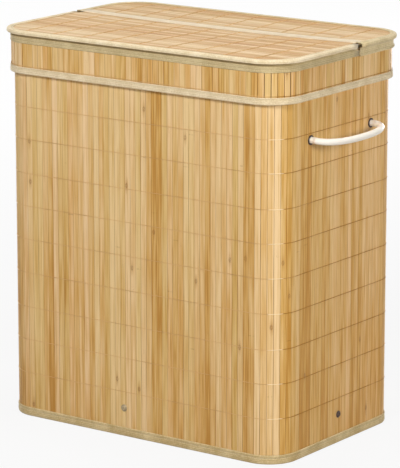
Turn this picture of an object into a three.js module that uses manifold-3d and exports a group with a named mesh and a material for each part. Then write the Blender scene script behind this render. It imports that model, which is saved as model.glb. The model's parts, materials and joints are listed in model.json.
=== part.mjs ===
// Laundry hamper with two bins: a stitched bamboo basket that holds two cloth bags under a slip-over lid.
// The front of the lid is a flap that folds up about a sewn tape, and a tube handle swings on each end.
// Millimetres, +Z up. The origin is on the floor under the middle of the basket, with the front towards -Y.

import * as THREE from 'three';
import { mergeVertices } from 'three/addons/utils/BufferGeometryUtils.js';
import Module from 'manifold-3d';

const wasm = await Module();
wasm.setup();

// Basket: its outer faces, and the top of its bound rim
const basketWidth = 520;
const basketDepth = 330;
const basketCornerRadius = 48;
const rimHeight = 600;

// Fits: the gap between layers that touch, how much of it a chord may take up, and how far a cut overruns
const layerGap = 0.3;
const chordGapShare = 0.95;
const cutOverrun = 5;

// Bamboo mats: flat slats side by side, stitched to a thin backing
const slatPitch = 10;
const slatThickness = 2;
const slatGrooveWidth = 0.8;
const slatGrooveDepth = 1;
const backingThickness = 0.8;

// Sewn cloth tapes: how thick they are, how far they reach down each edge, and how much they roll outwards
const tapeThickness = 0.6;
const baseTapeReach = 14.5;
const baseTapeRoll = 0.8;
const rimTapeReach = 12;
const tapeRollShares = [0.72, 0.28];

// Wires that keep the rim and the lid in shape
const rimWireDiameter = 3.2;
const lidHoopDiameter = 4;
const wireSides = 6;

// Base board and the screws that hold it through the walls
const boardThickness = 15;
const screwHeight = 45;
const longSideScrewOffset = 26;
const endScrewOffset = 0;
const screwShankRadius = 2;
const screwHoleClearance = 0.3;
const screwLength = 26;
const screwTipLength = 5;
const screwHeadRadius = 4;
const screwHeadHeight = 1.8;
const screwHeadRimShare = 0.67;
const washerRadius = 5.6;
const washerThickness = 1.2;
const washerRimThickness = 0.5;
const roundSteps = 10;

// Divider bar between the two bins, in its two cups
const barRadius = 5;
const barDrop = 21;
const cupRadius = 8;
const cupDepth = 9;
const cupFloor = 2;

// Cloth bags and the hook tape that holds their hems
const bagThickness = 1.5;
const bagHemDrop = 1.5;
const bagHemHeight = 34;
const bagWaistDrop = 85;
const bagEndInset = 25;
const bagSideInset = 12;
const bagMiddleInset = 8;
const bagCornerSteps = 5;
const hookTapeThickness = 0.9;
const hookTapeDrop = 15;
const hookTapeHeight = 18;
const hookTapeEnd = 50;

// Handles: eyelets in the end walls, and the tube that swings outside them
const eyeletSpacing = 164;
const eyeletDrop = 113;
const eyeletBoreRadius = 5.8;
const eyeletBarrelThickness = 0.8;
const eyeletFlangeRadius = 8.2;
const eyeletFlangeThickness = 1.4;
const eyeletRollThickness = 0.8;
const eyeletHoleClearance = 0.3;
const handleRadius = 5.4;
const handleReach = 40;
const handleDroopDegrees = 6;
const handleRunningGap = 0.4;
const handleRoundness = 2.3;
const handleSteps = 20;
const handleSides = 8;
const knotRadius = 9;
const knotLength = 18;
const knotLengthShares = [0.1, 0.35, 0.7];
const knotRadiusShares = [0.6, 1, 0.95];

// Lid: a skirt that slips over the rim, and the panels on top of it
const skirtSlideGap = 1.2;
const skirtHeight = 61.2;
const skirtAboveHoop = 5.9;
const skirtLowerTapeReach = 11;
const skirtLowerTapeRoll = 0.9;
const skirtLowerTapeTurn = 8;
const skirtTopTapeReach = 13.2;
const skirtTopTapeRoll = 0.5;
const skirtTopTapeTurn = 4;
const panelOverhang = 9.5;
const panelBoardThickness = 2;
const panelTapeReach = 8;
const panelTapeRoll = 1.6;
const panelTapeRise = 0.4;
const rearTapeTuck = 1;

// Fold line of the flap, and the tape sewn over it
const foldLineY = 35;
const foldGap = 0.4;
const hingeTapeWidth = 24;
const hingeTapeCrown = 0.8;

// Materials
const paint = (color, roughness, metalness = 0) =>
  new THREE.MeshStandardMaterial({ color, roughness, metalness });
const bamboo = paint(0xd8b47c, 0.5);
const liningCloth = paint(0xd9cba6, 0.9);
const edgeTape = paint(0xd8c7a0, 0.85);
const fibreboard = paint(0xb99b6b, 0.8);
const bagCloth = paint(0xece4d2, 0.95);
const steel = paint(0x9a9894, 0.35, 1);
const darkMetal = paint(0x4b3732, 0.4, 1);
const whiteTube = paint(0xf5f0e8, 0.4);
const cottonCord = paint(0xe9e2d2, 0.9);
const hookTapeCloth = paint(0xe2dccb, 0.9);
const turnedWood = paint(0xcfa875, 0.6);

// Solids

function closedGeometry(positions, triangles) {
  const geometry = new THREE.BufferGeometry();
  geometry.setAttribute('position', new THREE.Float32BufferAttribute(positions, 3));
  geometry.setIndex(triangles);
  return facingOut(geometry);
}

function facingOut(geometry) {
  const at = geometry.getAttribute('position');
  const index = geometry.getIndex();
  const corners = [new THREE.Vector3(), new THREE.Vector3(), new THREE.Vector3()];
  let volume = 0;
  for (let first = 0; first < index.count; first += 3) {
    corners.forEach((corner, i) => corner.fromBufferAttribute(at, index.getX(first + i)));
    volume += corners[0].dot(corners[1].cross(corners[2]));
  }
  if (volume < 0) index.array.reverse();
  return geometry;
}

function toSolid(geometry) {
  const bare = geometry.clone();
  bare.deleteAttribute('normal');
  bare.deleteAttribute('uv');
  const merged = mergeVertices(bare);
  const mesh = new wasm.Mesh({
    numProp: 3,
    vertProperties: new Float32Array(merged.getAttribute('position').array),
    triVerts: new Uint32Array(merged.getIndex().array),
  });
  return new wasm.Manifold(mesh);
}

function toGeometry(solid) {
  const { vertProperties, triVerts } = solid.getMesh();
  return closedGeometry(vertProperties, Array.from(triVerts));
}

// A ring of corners for each step, joined to the next ring and capped at both ends
function loft(rings) {
  const count = rings[0].length;
  const positions = rings.flat(2);
  const triangles = [];
  for (let ring = 0; ring + 1 < rings.length; ring += 1) {
    for (let i = 0; i < count; i += 1) {
      const a = ring * count + i;
      const b = ring * count + ((i + 1) % count);
      triangles.push(a, b, b + count, a, b + count, a + count);
    }
  }
  const last = (rings.length - 1) * count;
  for (let i = 1; i + 1 < count; i += 1) {
    triangles.push(0, i + 1, i, last, last + i, last + i + 1);
  }
  return closedGeometry(positions, triangles);
}

// A section of [offset, height] corners, carried along stations that each have a place and a way out
function sweep(section, stations, isClosed) {
  const count = section.length;
  const positions = [];
  for (const station of stations) {
    for (const [offset, height] of section) {
      positions.push(station.x + station.outX * offset, station.y + station.outY * offset, height);
    }
  }
  const triangles = [];
  const spans = isClosed ? stations.length : stations.length - 1;
  for (let span = 0; span < spans; span += 1) {
    const here = span * count;
    const next = ((span + 1) % stations.length) * count;
    for (let i = 0; i < count; i += 1) {
      const j = (i + 1) % count;
      triangles.push(here + i, here + j, next + j, here + i, next + j, next + i);
    }
  }
  if (!isClosed) {
    const corners = section.map(([offset, height]) => new THREE.Vector2(offset, height));
    const last = (stations.length - 1) * count;
    const turned = THREE.ShapeUtils.isClockWise(corners);
    for (const [a, b, c] of THREE.ShapeUtils.triangulateShape(corners, [])) {
      const cap = turned ? [a, b, c] : [a, c, b];
      triangles.push(...cap, last + cap[2], last + cap[1], last + cap[0]);
    }
  }
  return closedGeometry(positions, triangles);
}

function circleSection(offset, height, radius, sides = wireSides) {
  return Array.from({ length: sides }, (_, i) => {
    const angle = (2 * Math.PI * i) / sides;
    return [offset + radius * Math.cos(angle), height + radius * Math.sin(angle)];
  });
}

function revolve(profile) {
  const points = profile.map(([radius, height]) => new THREE.Vector2(radius, height));
  const turned = new THREE.LatheGeometry([...points, points[0].clone()], roundSteps);
  turned.rotateX(Math.PI / 2);
  return toGeometry(toSolid(turned));
}

// Footprint of the basket and what lies in or around it

const basketOutline = { width: basketWidth, depth: basketDepth, radius: basketCornerRadius };
const skirtBack = layerGap + tapeThickness + skirtSlideGap;
const skirtBackingFace = skirtBack + backingThickness;
const skirtFace = skirtBackingFace + layerGap + slatThickness;
const cornerSteps = Math.ceil(
  Math.PI / 4 / Math.acos(1 - (layerGap * chordGapShare) / (basketCornerRadius + skirtFace)),
);

// Corners and sides are counted round from the right side, anticlockwise seen from above
function cornerCentre({ width, depth, radius, middle = 0 }, corner) {
  const isLeft = corner % 4 === 1 || corner % 4 === 2;
  const isFront = corner % 4 >= 2;
  return {
    x: middle + (isLeft ? -1 : 1) * (width / 2 - radius),
    y: (isFront ? -1 : 1) * (depth / 2 - radius),
  };
}

function stationFrom(centre, radius, angle) {
  const outX = Math.cos(angle);
  const outY = Math.sin(angle);
  return { x: centre.x + radius * outX, y: centre.y + radius * outY, outX, outY };
}

function cornerStations(outline, corner, steps = cornerSteps) {
  const centre = cornerCentre(outline, corner);
  return Array.from({ length: steps + 1 }, (_, step) =>
    stationFrom(centre, outline.radius, (Math.PI / 2) * (corner + step / steps)));
}

const roundStations = (outline, steps) =>
  [0, 1, 2, 3].flatMap((corner) => cornerStations(outline, corner, steps));
const rightStation = (y) => ({ x: basketWidth / 2, y, outX: 1, outY: 0 });
const leftStation = (y) => ({ x: -basketWidth / 2, y, outX: -1, outY: 0 });
const rearStation = (x) => ({ x, y: basketDepth / 2, outX: 0, outY: 1 });
const frontStation = (x) => ({ x, y: -basketDepth / 2, outX: 0, outY: -1 });
const basketCorner = (corner) => cornerStations(basketOutline, corner);
const basketRound = roundStations(basketOutline);

// The station at a distance along an outline, from the front end of its right side
function stationAt(outline, distance) {
  let left = distance;
  const arc = (Math.PI / 2) * outline.radius;
  for (let side = 0; side < 4; side += 1) {
    const from = cornerCentre(outline, side + 3);
    const to = cornerCentre(outline, side);
    const length = Math.hypot(to.x - from.x, to.y - from.y);
    const angle = (Math.PI / 2) * side;
    if (left <= length) {
      const share = left / length;
      const here = { x: from.x + (to.x - from.x) * share, y: from.y + (to.y - from.y) * share };
      return stationFrom(here, outline.radius, angle);
    }
    left -= length;
    if (left <= arc) return stationFrom(to, outline.radius, angle + left / outline.radius);
    left -= arc;
  }
  return stationAt(outline, left);
}

const grown = ({ width, depth, radius }, by) =>
  ({ width: width + 2 * by, depth: depth + 2 * by, radius: radius + by });
const offsetPoint = ({ x, y, outX, outY }, by) => new THREE.Vector2(x + outX * by, y + outY * by);

// A mat of upright slats bent round the basket's outline, with a groove between each slat and the next
function slatRing(face, bottom, top) {
  const outline = grown(basketOutline, face);
  const arcs = 2 * Math.PI * outline.radius;
  const perimeter = 2 * (outline.width + outline.depth) - 8 * outline.radius + arcs;
  const slatCount = Math.round(perimeter / slatPitch);
  const pitch = perimeter / slatCount;
  const points = [];
  for (let slat = 0; slat < slatCount; slat += 1) {
    const start = slat * pitch;
    points.push(offsetPoint(stationAt(outline, start), -slatGrooveDepth));
    points.push(offsetPoint(stationAt(outline, start + slatGrooveWidth / 2), 0));
    points.push(offsetPoint(stationAt(outline, start + pitch - slatGrooveWidth / 2), 0));
  }
  return ringBetween(points, face - slatThickness, bottom, top);
}

// A wall between an outer outline and the basket's outline offset by back
function ringBetween(outerPoints, back, bottom, top) {
  const shape = new THREE.Shape(outerPoints);
  shape.holes.push(new THREE.Path(basketRound.map((station) => offsetPoint(station, back))));
  const wall = new THREE.ExtrudeGeometry(shape, { depth: top - bottom, bevelEnabled: false });
  wall.translate(0, 0, bottom);
  return wall;
}

function backingRing(face, bottom, top) {
  const outer = basketRound.map((station) => offsetPoint(station, face));
  return ringBetween(outer, face - backingThickness, bottom, top);
}

// A tape folded over an edge. Heights run from the outside of the fold along its legs.
function foldedTape({ face, back, reach, turn, roll = 0 }) {
  const skin = face + tapeThickness;
  const bulge = tapeRollShares.map((share) => [skin + roll, reach * share]);
  const rolled = roll > 0 ? bulge : [[skin, tapeThickness]];
  return [
    [face, tapeThickness],
    [face, reach],
    [skin, reach],
    ...rolled,
    [face, 0],
    [back, 0],
    [back - tapeThickness, tapeThickness],
    [back - tapeThickness, turn],
    [back, turn],
    [back, tapeThickness],
  ];
}

const standing = (section, floor) => section.map(([offset, height]) => [offset, floor + height]);
const hanging = (section, ceiling) => section.map(([offset, height]) => [offset, ceiling - height]);

// Places on the outside of the basket's walls, each with the way out of it
const outside = {
  front: { x: -longSideScrewOffset, y: -basketDepth / 2, turn: -Math.PI / 2 },
  right: { x: basketWidth / 2, y: endScrewOffset, turn: 0 },
  rear: { x: longSideScrewOffset, y: basketDepth / 2, turn: Math.PI / 2 },
  left: { x: -basketWidth / 2, y: endScrewOffset, turn: Math.PI },
};
const eyeletHeight = rimHeight - eyeletDrop;
const eyeletPlaces = {
  right_front: { x: basketWidth / 2, y: -eyeletSpacing / 2, turn: 0 },
  right_rear: { x: basketWidth / 2, y: eyeletSpacing / 2, turn: 0 },
  left_front: { x: -basketWidth / 2, y: -eyeletSpacing / 2, turn: Math.PI },
  left_rear: { x: -basketWidth / 2, y: eyeletSpacing / 2, turn: Math.PI },
};

// Turns a geometry made round the Z axis so that its +Z points out of the wall, and puts it there
function pointOutwards(geometry, { x, y, turn }, height) {
  geometry.rotateY(Math.PI / 2);
  geometry.rotateZ(turn);
  geometry.translate(x, y, height);
  return geometry;
}

function holeCutter(place, height, radius, depth) {
  const length = depth + 2 * cutOverrun;
  const rod = new THREE.CylinderGeometry(radius, radius, length, roundSteps);
  rod.rotateX(Math.PI / 2);
  rod.translate(0, 0, cutOverrun - length / 2);
  return toSolid(pointOutwards(rod, place, height));
}

// Basket walls

const slatBack = -slatThickness;
const backingFace = slatBack - layerGap;
const backingBack = backingFace - backingThickness;
const wallBottom = tapeThickness + layerGap;
const rimWireCentre = rimHeight - tapeThickness - layerGap - rimWireDiameter / 2;
const wallTop = rimWireCentre - rimWireDiameter / 2 - layerGap;
const wireBack = (backingBack - rimWireDiameter) / 2;
const rimTapeBack = wireBack - layerGap;
const shankHoleRadius = screwShankRadius + screwHoleClearance;
const eyeletHoleRadius = eyeletBoreRadius + eyeletBarrelThickness + eyeletHoleClearance;

function pierced(geometry) {
  const wallDepth = -backingBack;
  let wall = toSolid(geometry);
  for (const place of Object.values(outside)) {
    wall = wall.subtract(holeCutter(place, screwHeight, shankHoleRadius, wallDepth));
  }
  for (const place of Object.values(eyeletPlaces)) {
    wall = wall.subtract(holeCutter(place, eyeletHeight, eyeletHoleRadius, wallDepth));
  }
  return toGeometry(wall);
}

function baseTape() {
  const section = foldedTape({
    face: layerGap,
    back: backingBack - layerGap,
    reach: baseTapeReach,
    turn: baseTapeReach,
    roll: baseTapeRoll,
  });
  return sweep(standing(section, 0), basketRound, true);
}

function rimTape() {
  const section = foldedTape({
    face: layerGap,
    back: rimTapeBack,
    reach: rimTapeReach,
    turn: rimTapeReach,
  });
  return sweep(hanging(section, rimHeight), basketRound, true);
}

function rimWire() {
  return sweep(circleSection(backingBack / 2, rimWireCentre, rimWireDiameter / 2), basketRound, true);
}

// Base board, which the walls are screwed to

function baseBoard() {
  const points = basketRound.map((station) => offsetPoint(station, backingBack - layerGap));
  const board = new THREE.ExtrudeGeometry(new THREE.Shape(points), {
    depth: boardThickness,
    bevelEnabled: false,
  });
  board.translate(0, 0, screwHeight - boardThickness / 2);
  let solid = toSolid(board);
  for (const place of Object.values(outside)) {
    solid = solid.subtract(holeCutter(place, screwHeight, shankHoleRadius, screwLength));
  }
  return toGeometry(solid);
}

function screwWasher() {
  return revolve([
    [shankHoleRadius, layerGap],
    [washerRadius, layerGap],
    [washerRadius, layerGap + washerRimThickness],
    [screwHeadRadius, layerGap + washerThickness],
    [shankHoleRadius, layerGap + washerThickness],
  ]);
}

function baseScrew() {
  const seat = layerGap + washerThickness + layerGap;
  const top = seat + screwHeadHeight;
  return revolve([
    [0, -screwLength],
    [screwShankRadius, screwTipLength - screwLength],
    [screwShankRadius, seat],
    [screwHeadRadius, seat],
    [(screwHeadRadius + screwShankRadius) / 2, seat + screwHeadHeight * screwHeadRimShare],
    [0, top],
  ]);
}

// Divider bar: a dowel across the mouth, with its ends in cups on the long walls

const barHeight = rimHeight - barDrop;
const cupBack = basketDepth / 2 + backingBack - layerGap;

function dividerBar() {
  const length = 2 * (cupBack - cupFloor - layerGap);
  return new THREE.CylinderGeometry(barRadius, barRadius, length, roundSteps);
}

function barCup() {
  return revolve([
    [0, 0],
    [cupRadius, 0],
    [cupRadius, cupDepth],
    [barRadius + layerGap, cupDepth],
    [barRadius + layerGap, cupFloor],
    [0, cupFloor],
  ]);
}

// Cloth bags: open sacks with their hems on hook tape inside the rim, and bodies clear of the handles' knots

const hookTapeFace = backingBack - layerGap;
const hemFace = Math.min(hookTapeFace - hookTapeThickness, rimTapeBack - tapeThickness) - layerGap;
const bagFloor = screwHeight + boardThickness / 2 + layerGap;
const bagWaistHeight = rimHeight - bagWaistDrop;

function hookTape(stations) {
  const top = rimHeight - hookTapeDrop;
  const section = [
    [hookTapeFace, top],
    [hookTapeFace, top - hookTapeHeight],
    [hookTapeFace - hookTapeThickness, top - hookTapeHeight],
    [hookTapeFace - hookTapeThickness, top],
  ];
  return sweep(section, stations, false);
}

function linerBag(side) {
  const hemTop = rimHeight - bagHemDrop;
  const ring = (height, end, middle, depth, radius, inset) => {
    const outline = {
      width: end - middle - 2 * inset,
      depth: 2 * (depth - inset),
      radius: radius - inset,
      middle: (side * (end + middle)) / 2,
    };
    return roundStations(outline, bagCornerSteps).map(({ x, y }) => [x, y, height]);
  };
  const hem = (height, inset) => ring(
    height,
    basketWidth / 2 + hemFace,
    barRadius + layerGap,
    basketDepth / 2 + hemFace,
    basketCornerRadius + hemFace,
    inset,
  );
  const body = (height, inset) => ring(
    height,
    basketWidth / 2 - bagEndInset,
    bagMiddleInset,
    basketDepth / 2 - bagSideInset,
    basketCornerRadius - bagSideInset,
    inset,
  );
  return loft([
    body(bagFloor, 0),
    body(bagWaistHeight, 0),
    hem(hemTop - bagHemHeight, 0),
    hem(hemTop, 0),
    hem(hemTop, bagThickness),
    hem(hemTop - bagHemHeight, bagThickness),
    body(bagWaistHeight, bagThickness),
    body(bagFloor + bagThickness, bagThickness),
  ]);
}

// Eyelets, and the knotted cord ends that they hold

const eyeletFace = layerGap + eyeletFlangeThickness;
const eyeletInside = backingBack - layerGap - eyeletRollThickness;

function eyelet() {
  const barrel = eyeletBoreRadius + eyeletBarrelThickness;
  return revolve([
    [eyeletBoreRadius, eyeletInside],
    [eyeletFlangeRadius, eyeletInside],
    [eyeletFlangeRadius, eyeletInside + eyeletRollThickness],
    [barrel, eyeletInside + eyeletRollThickness],
    [barrel, layerGap],
    [eyeletFlangeRadius, layerGap],
    [eyeletFlangeRadius, layerGap + eyeletFlangeThickness / 2],
    [barrel, eyeletFace],
    [eyeletBoreRadius, eyeletFace],
  ]);
}

function handleKnot() {
  const knotFront = eyeletInside - layerGap;
  const knotBack = knotFront - knotLength;
  return revolve([
    [0, knotBack],
    ...knotLengthShares.map((share, i) => [knotRadius * knotRadiusShares[i], knotBack + knotLength * share]),
    [handleRadius, knotFront],
    [handleRadius, eyeletFace],
    [0, eyeletFace],
  ]);
}

// Handle: a tube bent to an arch, with round ends on the line through both eyelets, made round its own pivot

const handlePivot = basketWidth / 2 + eyeletFace + handleRunningGap + handleRadius;

function handleTube() {
  const reach = basketWidth / 2 + handleReach - handlePivot;
  const points = Array.from({ length: handleSteps + 1 }, (_, step) => {
    const angle = (Math.PI * step) / handleSteps;
    const along = -Math.cos(angle);
    const out = (1 - Math.abs(along) ** handleRoundness) ** (1 / handleRoundness);
    return new THREE.Vector3(reach * out, (along * eyeletSpacing) / 2, 0);
  });
  const section = new THREE.Shape(
    circleSection(0, 0, handleRadius, handleSides).map(([x, y]) => new THREE.Vector2(x, y)),
  );
  const arch = new THREE.ExtrudeGeometry(section, {
    steps: handleSteps,
    extrudePath: new THREE.CatmullRomCurve3(points),
    bevelEnabled: false,
  });
  let tube = toSolid(arch);
  for (const end of [points[0], points[handleSteps]]) {
    const ball = new THREE.SphereGeometry(handleRadius, handleSides, handleSides / 2);
    ball.translate(end.x, end.y, end.z);
    tube = tube.add(toSolid(ball));
  }
  return toGeometry(tube);
}

// Lid skirt

const skirtTopHeight = rimHeight + layerGap + lidHoopDiameter + skirtAboveHoop;
const skirtBottomHeight = skirtTopHeight - skirtHeight;
const skirtWallBottom = skirtBottomHeight + tapeThickness + layerGap;
const skirtWallTop = skirtTopHeight - tapeThickness - layerGap;

function skirtLowerTape() {
  const section = foldedTape({
    face: skirtFace + layerGap,
    back: skirtBack - layerGap,
    reach: skirtLowerTapeReach,
    turn: skirtLowerTapeTurn,
    roll: skirtLowerTapeRoll,
  });
  return sweep(standing(section, skirtBottomHeight), basketRound, true);
}

function skirtTopTape() {
  const section = foldedTape({
    face: skirtFace + layerGap,
    back: skirtBack - layerGap,
    reach: skirtTopTapeReach,
    turn: skirtTopTapeTurn,
    roll: skirtTopTapeRoll,
  });
  return sweep(hanging(section, skirtTopHeight), basketRound, true);
}

// The hoop lies on the basket's rim, against the inside of the skirt, and carries the lid
function lidHoop() {
  const radius = lidHoopDiameter / 2;
  const centre = skirtBack - layerGap - radius;
  return sweep(circleSection(centre, rimHeight + layerGap + radius, radius), basketRound, true);
}

// Lid panels: a board with a mat of slats that run the long way, cut to the lid's outline

const panelBottom = skirtTopHeight + layerGap + tapeThickness + layerGap;
const panelSlatBottom = panelBottom + panelBoardThickness + layerGap;
const panelTop = panelSlatBottom + slatThickness;
const panelTapeTop = panelTop + layerGap + tapeThickness + panelTapeRise;
const lidFrontY = -(basketDepth / 2 + panelOverhang);
const lidRearY = basketDepth / 2 + panelOverhang;
const flapRearY = foldLineY - foldGap;

// Extrudes a section of (Y, Z) corners along X, to both sides of the middle
function lengthways(section, length) {
  const bar = new THREE.ExtrudeGeometry(new THREE.Shape(section), { depth: length, bevelEnabled: false });
  bar.translate(0, 0, -length / 2);
  const toRow = new THREE.Matrix4().makeBasis(
    new THREE.Vector3(0, 1, 0),
    new THREE.Vector3(0, 0, 1),
    new THREE.Vector3(1, 0, 0),
  );
  bar.applyMatrix4(toRow);
  return bar;
}

function cutToLid(section, bottom, top) {
  const bar = lengthways(section, basketWidth + 2 * (panelOverhang + cutOverrun));
  const points = basketRound.map((station) => offsetPoint(station, panelOverhang));
  const height = top - bottom + 2 * cutOverrun;
  const outline = new THREE.ExtrudeGeometry(new THREE.Shape(points), { depth: height, bevelEnabled: false });
  outline.translate(0, 0, bottom - cutOverrun);
  return toGeometry(toSolid(bar).intersect(toSolid(outline)));
}

function panelBoard(fromY, toY) {
  const section = [
    new THREE.Vector2(fromY, panelBottom),
    new THREE.Vector2(toY, panelBottom),
    new THREE.Vector2(toY, panelBottom + panelBoardThickness),
    new THREE.Vector2(fromY, panelBottom + panelBoardThickness),
  ];
  return cutToLid(section, panelBottom, panelSlatBottom);
}

// Slats are laid from the fold line outwards
function panelSlats(foldY, edgeY) {
  const way = Math.sign(edgeY - foldY);
  const slatCount = Math.ceil(Math.abs(edgeY - foldY) / slatPitch);
  const section = [new THREE.Vector2(foldY, panelSlatBottom), new THREE.Vector2(foldY, panelTop)];
  for (let slat = 1; slat < slatCount; slat += 1) {
    const joint = foldY + way * slat * slatPitch;
    section.push(new THREE.Vector2(joint - (way * slatGrooveWidth) / 2, panelTop));
    section.push(new THREE.Vector2(joint, panelTop - slatGrooveDepth));
    section.push(new THREE.Vector2(joint + (way * slatGrooveWidth) / 2, panelTop));
  }
  section.push(new THREE.Vector2(foldY + way * slatCount * slatPitch, panelTop));
  section.push(new THREE.Vector2(foldY + way * slatCount * slatPitch, panelSlatBottom));
  return cutToLid(section, panelSlatBottom, panelTop);
}

// The tape round a panel's edge, open towards the panel. The rear one goes on down over the skirt's top tape.
function panelTapeSection(isRear) {
  const legEnd = panelOverhang - panelTapeReach;
  const inside = panelOverhang + layerGap;
  const outsideFace = inside + tapeThickness + panelTapeRoll;
  const upper = panelTop + layerGap;
  const lower = panelBottom - layerGap;
  const middle = (upper + lower) / 2;
  const skirtTapeFace = skirtFace + layerGap + tapeThickness + skirtTopTapeRoll + layerGap;
  const overSkirt = [
    [skirtTapeFace, lower - tapeThickness],
    [skirtTapeFace, skirtTopHeight - skirtTopTapeReach - rearTapeTuck],
    [skirtTapeFace + tapeThickness, skirtTopHeight - skirtTopTapeReach - rearTapeTuck],
  ];
  return [
    [legEnd, upper],
    [inside, upper],
    [inside, lower],
    [legEnd, lower],
    [legEnd, lower - tapeThickness],
    ...(isRear ? overSkirt : [[inside, lower - tapeThickness]]),
    [outsideFace, middle - panelTapeRoll],
    [outsideFace, middle + panelTapeRoll],
    [panelOverhang, panelTapeTop],
    [legEnd + panelTapeRoll, panelTapeTop],
    [legEnd, upper + tapeThickness],
  ];
}

function flapEdgeTape() {
  const stations = [leftStation(flapRearY), ...basketCorner(2), ...basketCorner(3), rightStation(flapRearY)];
  return sweep(panelTapeSection(false), stations, false);
}

function rearEdgeTape() {
  const stations = [rightStation(foldLineY), ...basketCorner(0), ...basketCorner(1), leftStation(foldLineY)];
  return sweep(panelTapeSection(true), stations, false);
}

// The tape over the fold line, sewn to the rear panel with its crowned front edge on the fold
function hingeTape() {
  const length = 2 * (basketWidth / 2 + panelOverhang - panelTapeReach - layerGap);
  const bottom = panelTop + layerGap;
  const skin = bottom + tapeThickness;
  const section = [
    new THREE.Vector2(foldLineY, bottom),
    new THREE.Vector2(foldLineY + hingeTapeWidth, bottom),
    new THREE.Vector2(foldLineY + hingeTapeWidth, skin),
    new THREE.Vector2(foldLineY + hingeTapeWidth / 2, skin + hingeTapeCrown),
    new THREE.Vector2(foldLineY + tapeThickness, skin + hingeTapeCrown),
    new THREE.Vector2(foldLineY, skin),
  ];
  return lengthways(section, length);
}

// Assembly

const hamper = new THREE.Group();

function addPiece(parent, name, geometry, material) {
  const mesh = new THREE.Mesh(geometry, material);
  mesh.name = name;
  parent.add(mesh);
  return mesh;
}

function addOnWall(parent, name, geometry, material, { x, y, turn }, height) {
  const mesh = addPiece(parent, name, geometry, material);
  mesh.rotation.set(0, Math.PI / 2, turn, 'ZYX');
  mesh.position.set(x, y, height);
}

const basket = new THREE.Group();
hamper.add(basket);
addPiece(basket, 'wall_slats', pierced(slatRing(0, wallBottom, wallTop)), bamboo);
addPiece(basket, 'wall_backing', pierced(backingRing(backingFace, wallBottom, wallTop)), liningCloth);
addPiece(basket, 'base_tape', baseTape(), edgeTape);
addPiece(basket, 'rim_tape', rimTape(), edgeTape);
addPiece(basket, 'rim_wire', rimWire(), steel);
addPiece(basket, 'base_board', baseBoard(), fibreboard);
for (const [side, place] of Object.entries(outside)) {
  addOnWall(basket, `screw_washer_${side}`, screwWasher(), darkMetal, place, screwHeight);
  addOnWall(basket, `base_screw_${side}`, baseScrew(), steel, place, screwHeight);
}

const bar = addPiece(basket, 'divider_bar', dividerBar(), turnedWood);
bar.position.set(0, 0, barHeight);
const frontCup = addPiece(basket, 'bar_cup_front', barCup(), darkMetal);
frontCup.rotation.x = -Math.PI / 2;
frontCup.position.set(0, -cupBack, barHeight);
const rearCup = addPiece(basket, 'bar_cup_rear', barCup(), darkMetal);
rearCup.rotation.x = Math.PI / 2;
rearCup.position.set(0, cupBack, barHeight);

const leftRun = [
  rearStation(-hookTapeEnd), ...basketCorner(1), ...basketCorner(2), frontStation(-hookTapeEnd),
];
const rightRun = [
  frontStation(hookTapeEnd), ...basketCorner(3), ...basketCorner(0), rearStation(hookTapeEnd),
];
addPiece(basket, 'hook_tape_left', hookTape(leftRun), hookTapeCloth);
addPiece(basket, 'hook_tape_right', hookTape(rightRun), hookTapeCloth);
addPiece(basket, 'liner_bag_left', linerBag(-1), bagCloth);
addPiece(basket, 'liner_bag_right', linerBag(1), bagCloth);

for (const [corner, place] of Object.entries(eyeletPlaces)) {
  addOnWall(basket, `eyelet_${corner}`, eyelet(), darkMetal, place, eyeletHeight);
  addOnWall(basket, `handle_knot_${corner}`, handleKnot(), cottonCord, place, eyeletHeight);
}

for (const [name, side] of [['handle_right', 1], ['handle_left', -1]]) {
  const pivot = new THREE.Group();
  pivot.position.set(side * handlePivot, 0, eyeletHeight);
  pivot.rotation.z = side > 0 ? 0 : Math.PI;
  hamper.add(pivot);
  const handle = addPiece(pivot, name, handleTube(), whiteTube);
  handle.rotation.y = THREE.MathUtils.degToRad(handleDroopDegrees);
}

const lid = new THREE.Group();
hamper.add(lid);
addPiece(lid, 'skirt_slats', slatRing(skirtFace, skirtWallBottom, skirtWallTop), bamboo);
addPiece(lid, 'skirt_backing', backingRing(skirtBackingFace, skirtWallBottom, skirtWallTop), liningCloth);
addPiece(lid, 'skirt_lower_tape', skirtLowerTape(), edgeTape);
addPiece(lid, 'skirt_top_tape', skirtTopTape(), edgeTape);
addPiece(lid, 'lid_hoop', lidHoop(), steel);
addPiece(lid, 'rear_board', panelBoard(foldLineY, lidRearY + cutOverrun), fibreboard);
addPiece(lid, 'rear_slats', panelSlats(foldLineY, lidRearY), bamboo);
addPiece(lid, 'rear_edge_tape', rearEdgeTape(), edgeTape);
addPiece(lid, 'hinge_tape', hingeTape(), edgeTape);

const flap = new THREE.Group();
lid.add(flap);
addPiece(flap, 'flap_board', panelBoard(lidFrontY - cutOverrun, flapRearY), fibreboard);
addPiece(flap, 'flap_slats', panelSlats(flapRearY, lidFrontY), bamboo);
addPiece(flap, 'flap_edge_tape', flapEdgeTape(), edgeTape);

export default hamper;
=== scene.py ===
# A laundry hamper with two bins, dressed round its fixed parts: stitched bamboo mats bound with sewn tape,
# two cloth bags, a slip-over lid with a flap, and tube handles. Metres, +Z up, with the front towards -Y.
import json
import math

import bmesh
import bpy
from mathutils import Euler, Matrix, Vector, noise


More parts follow.
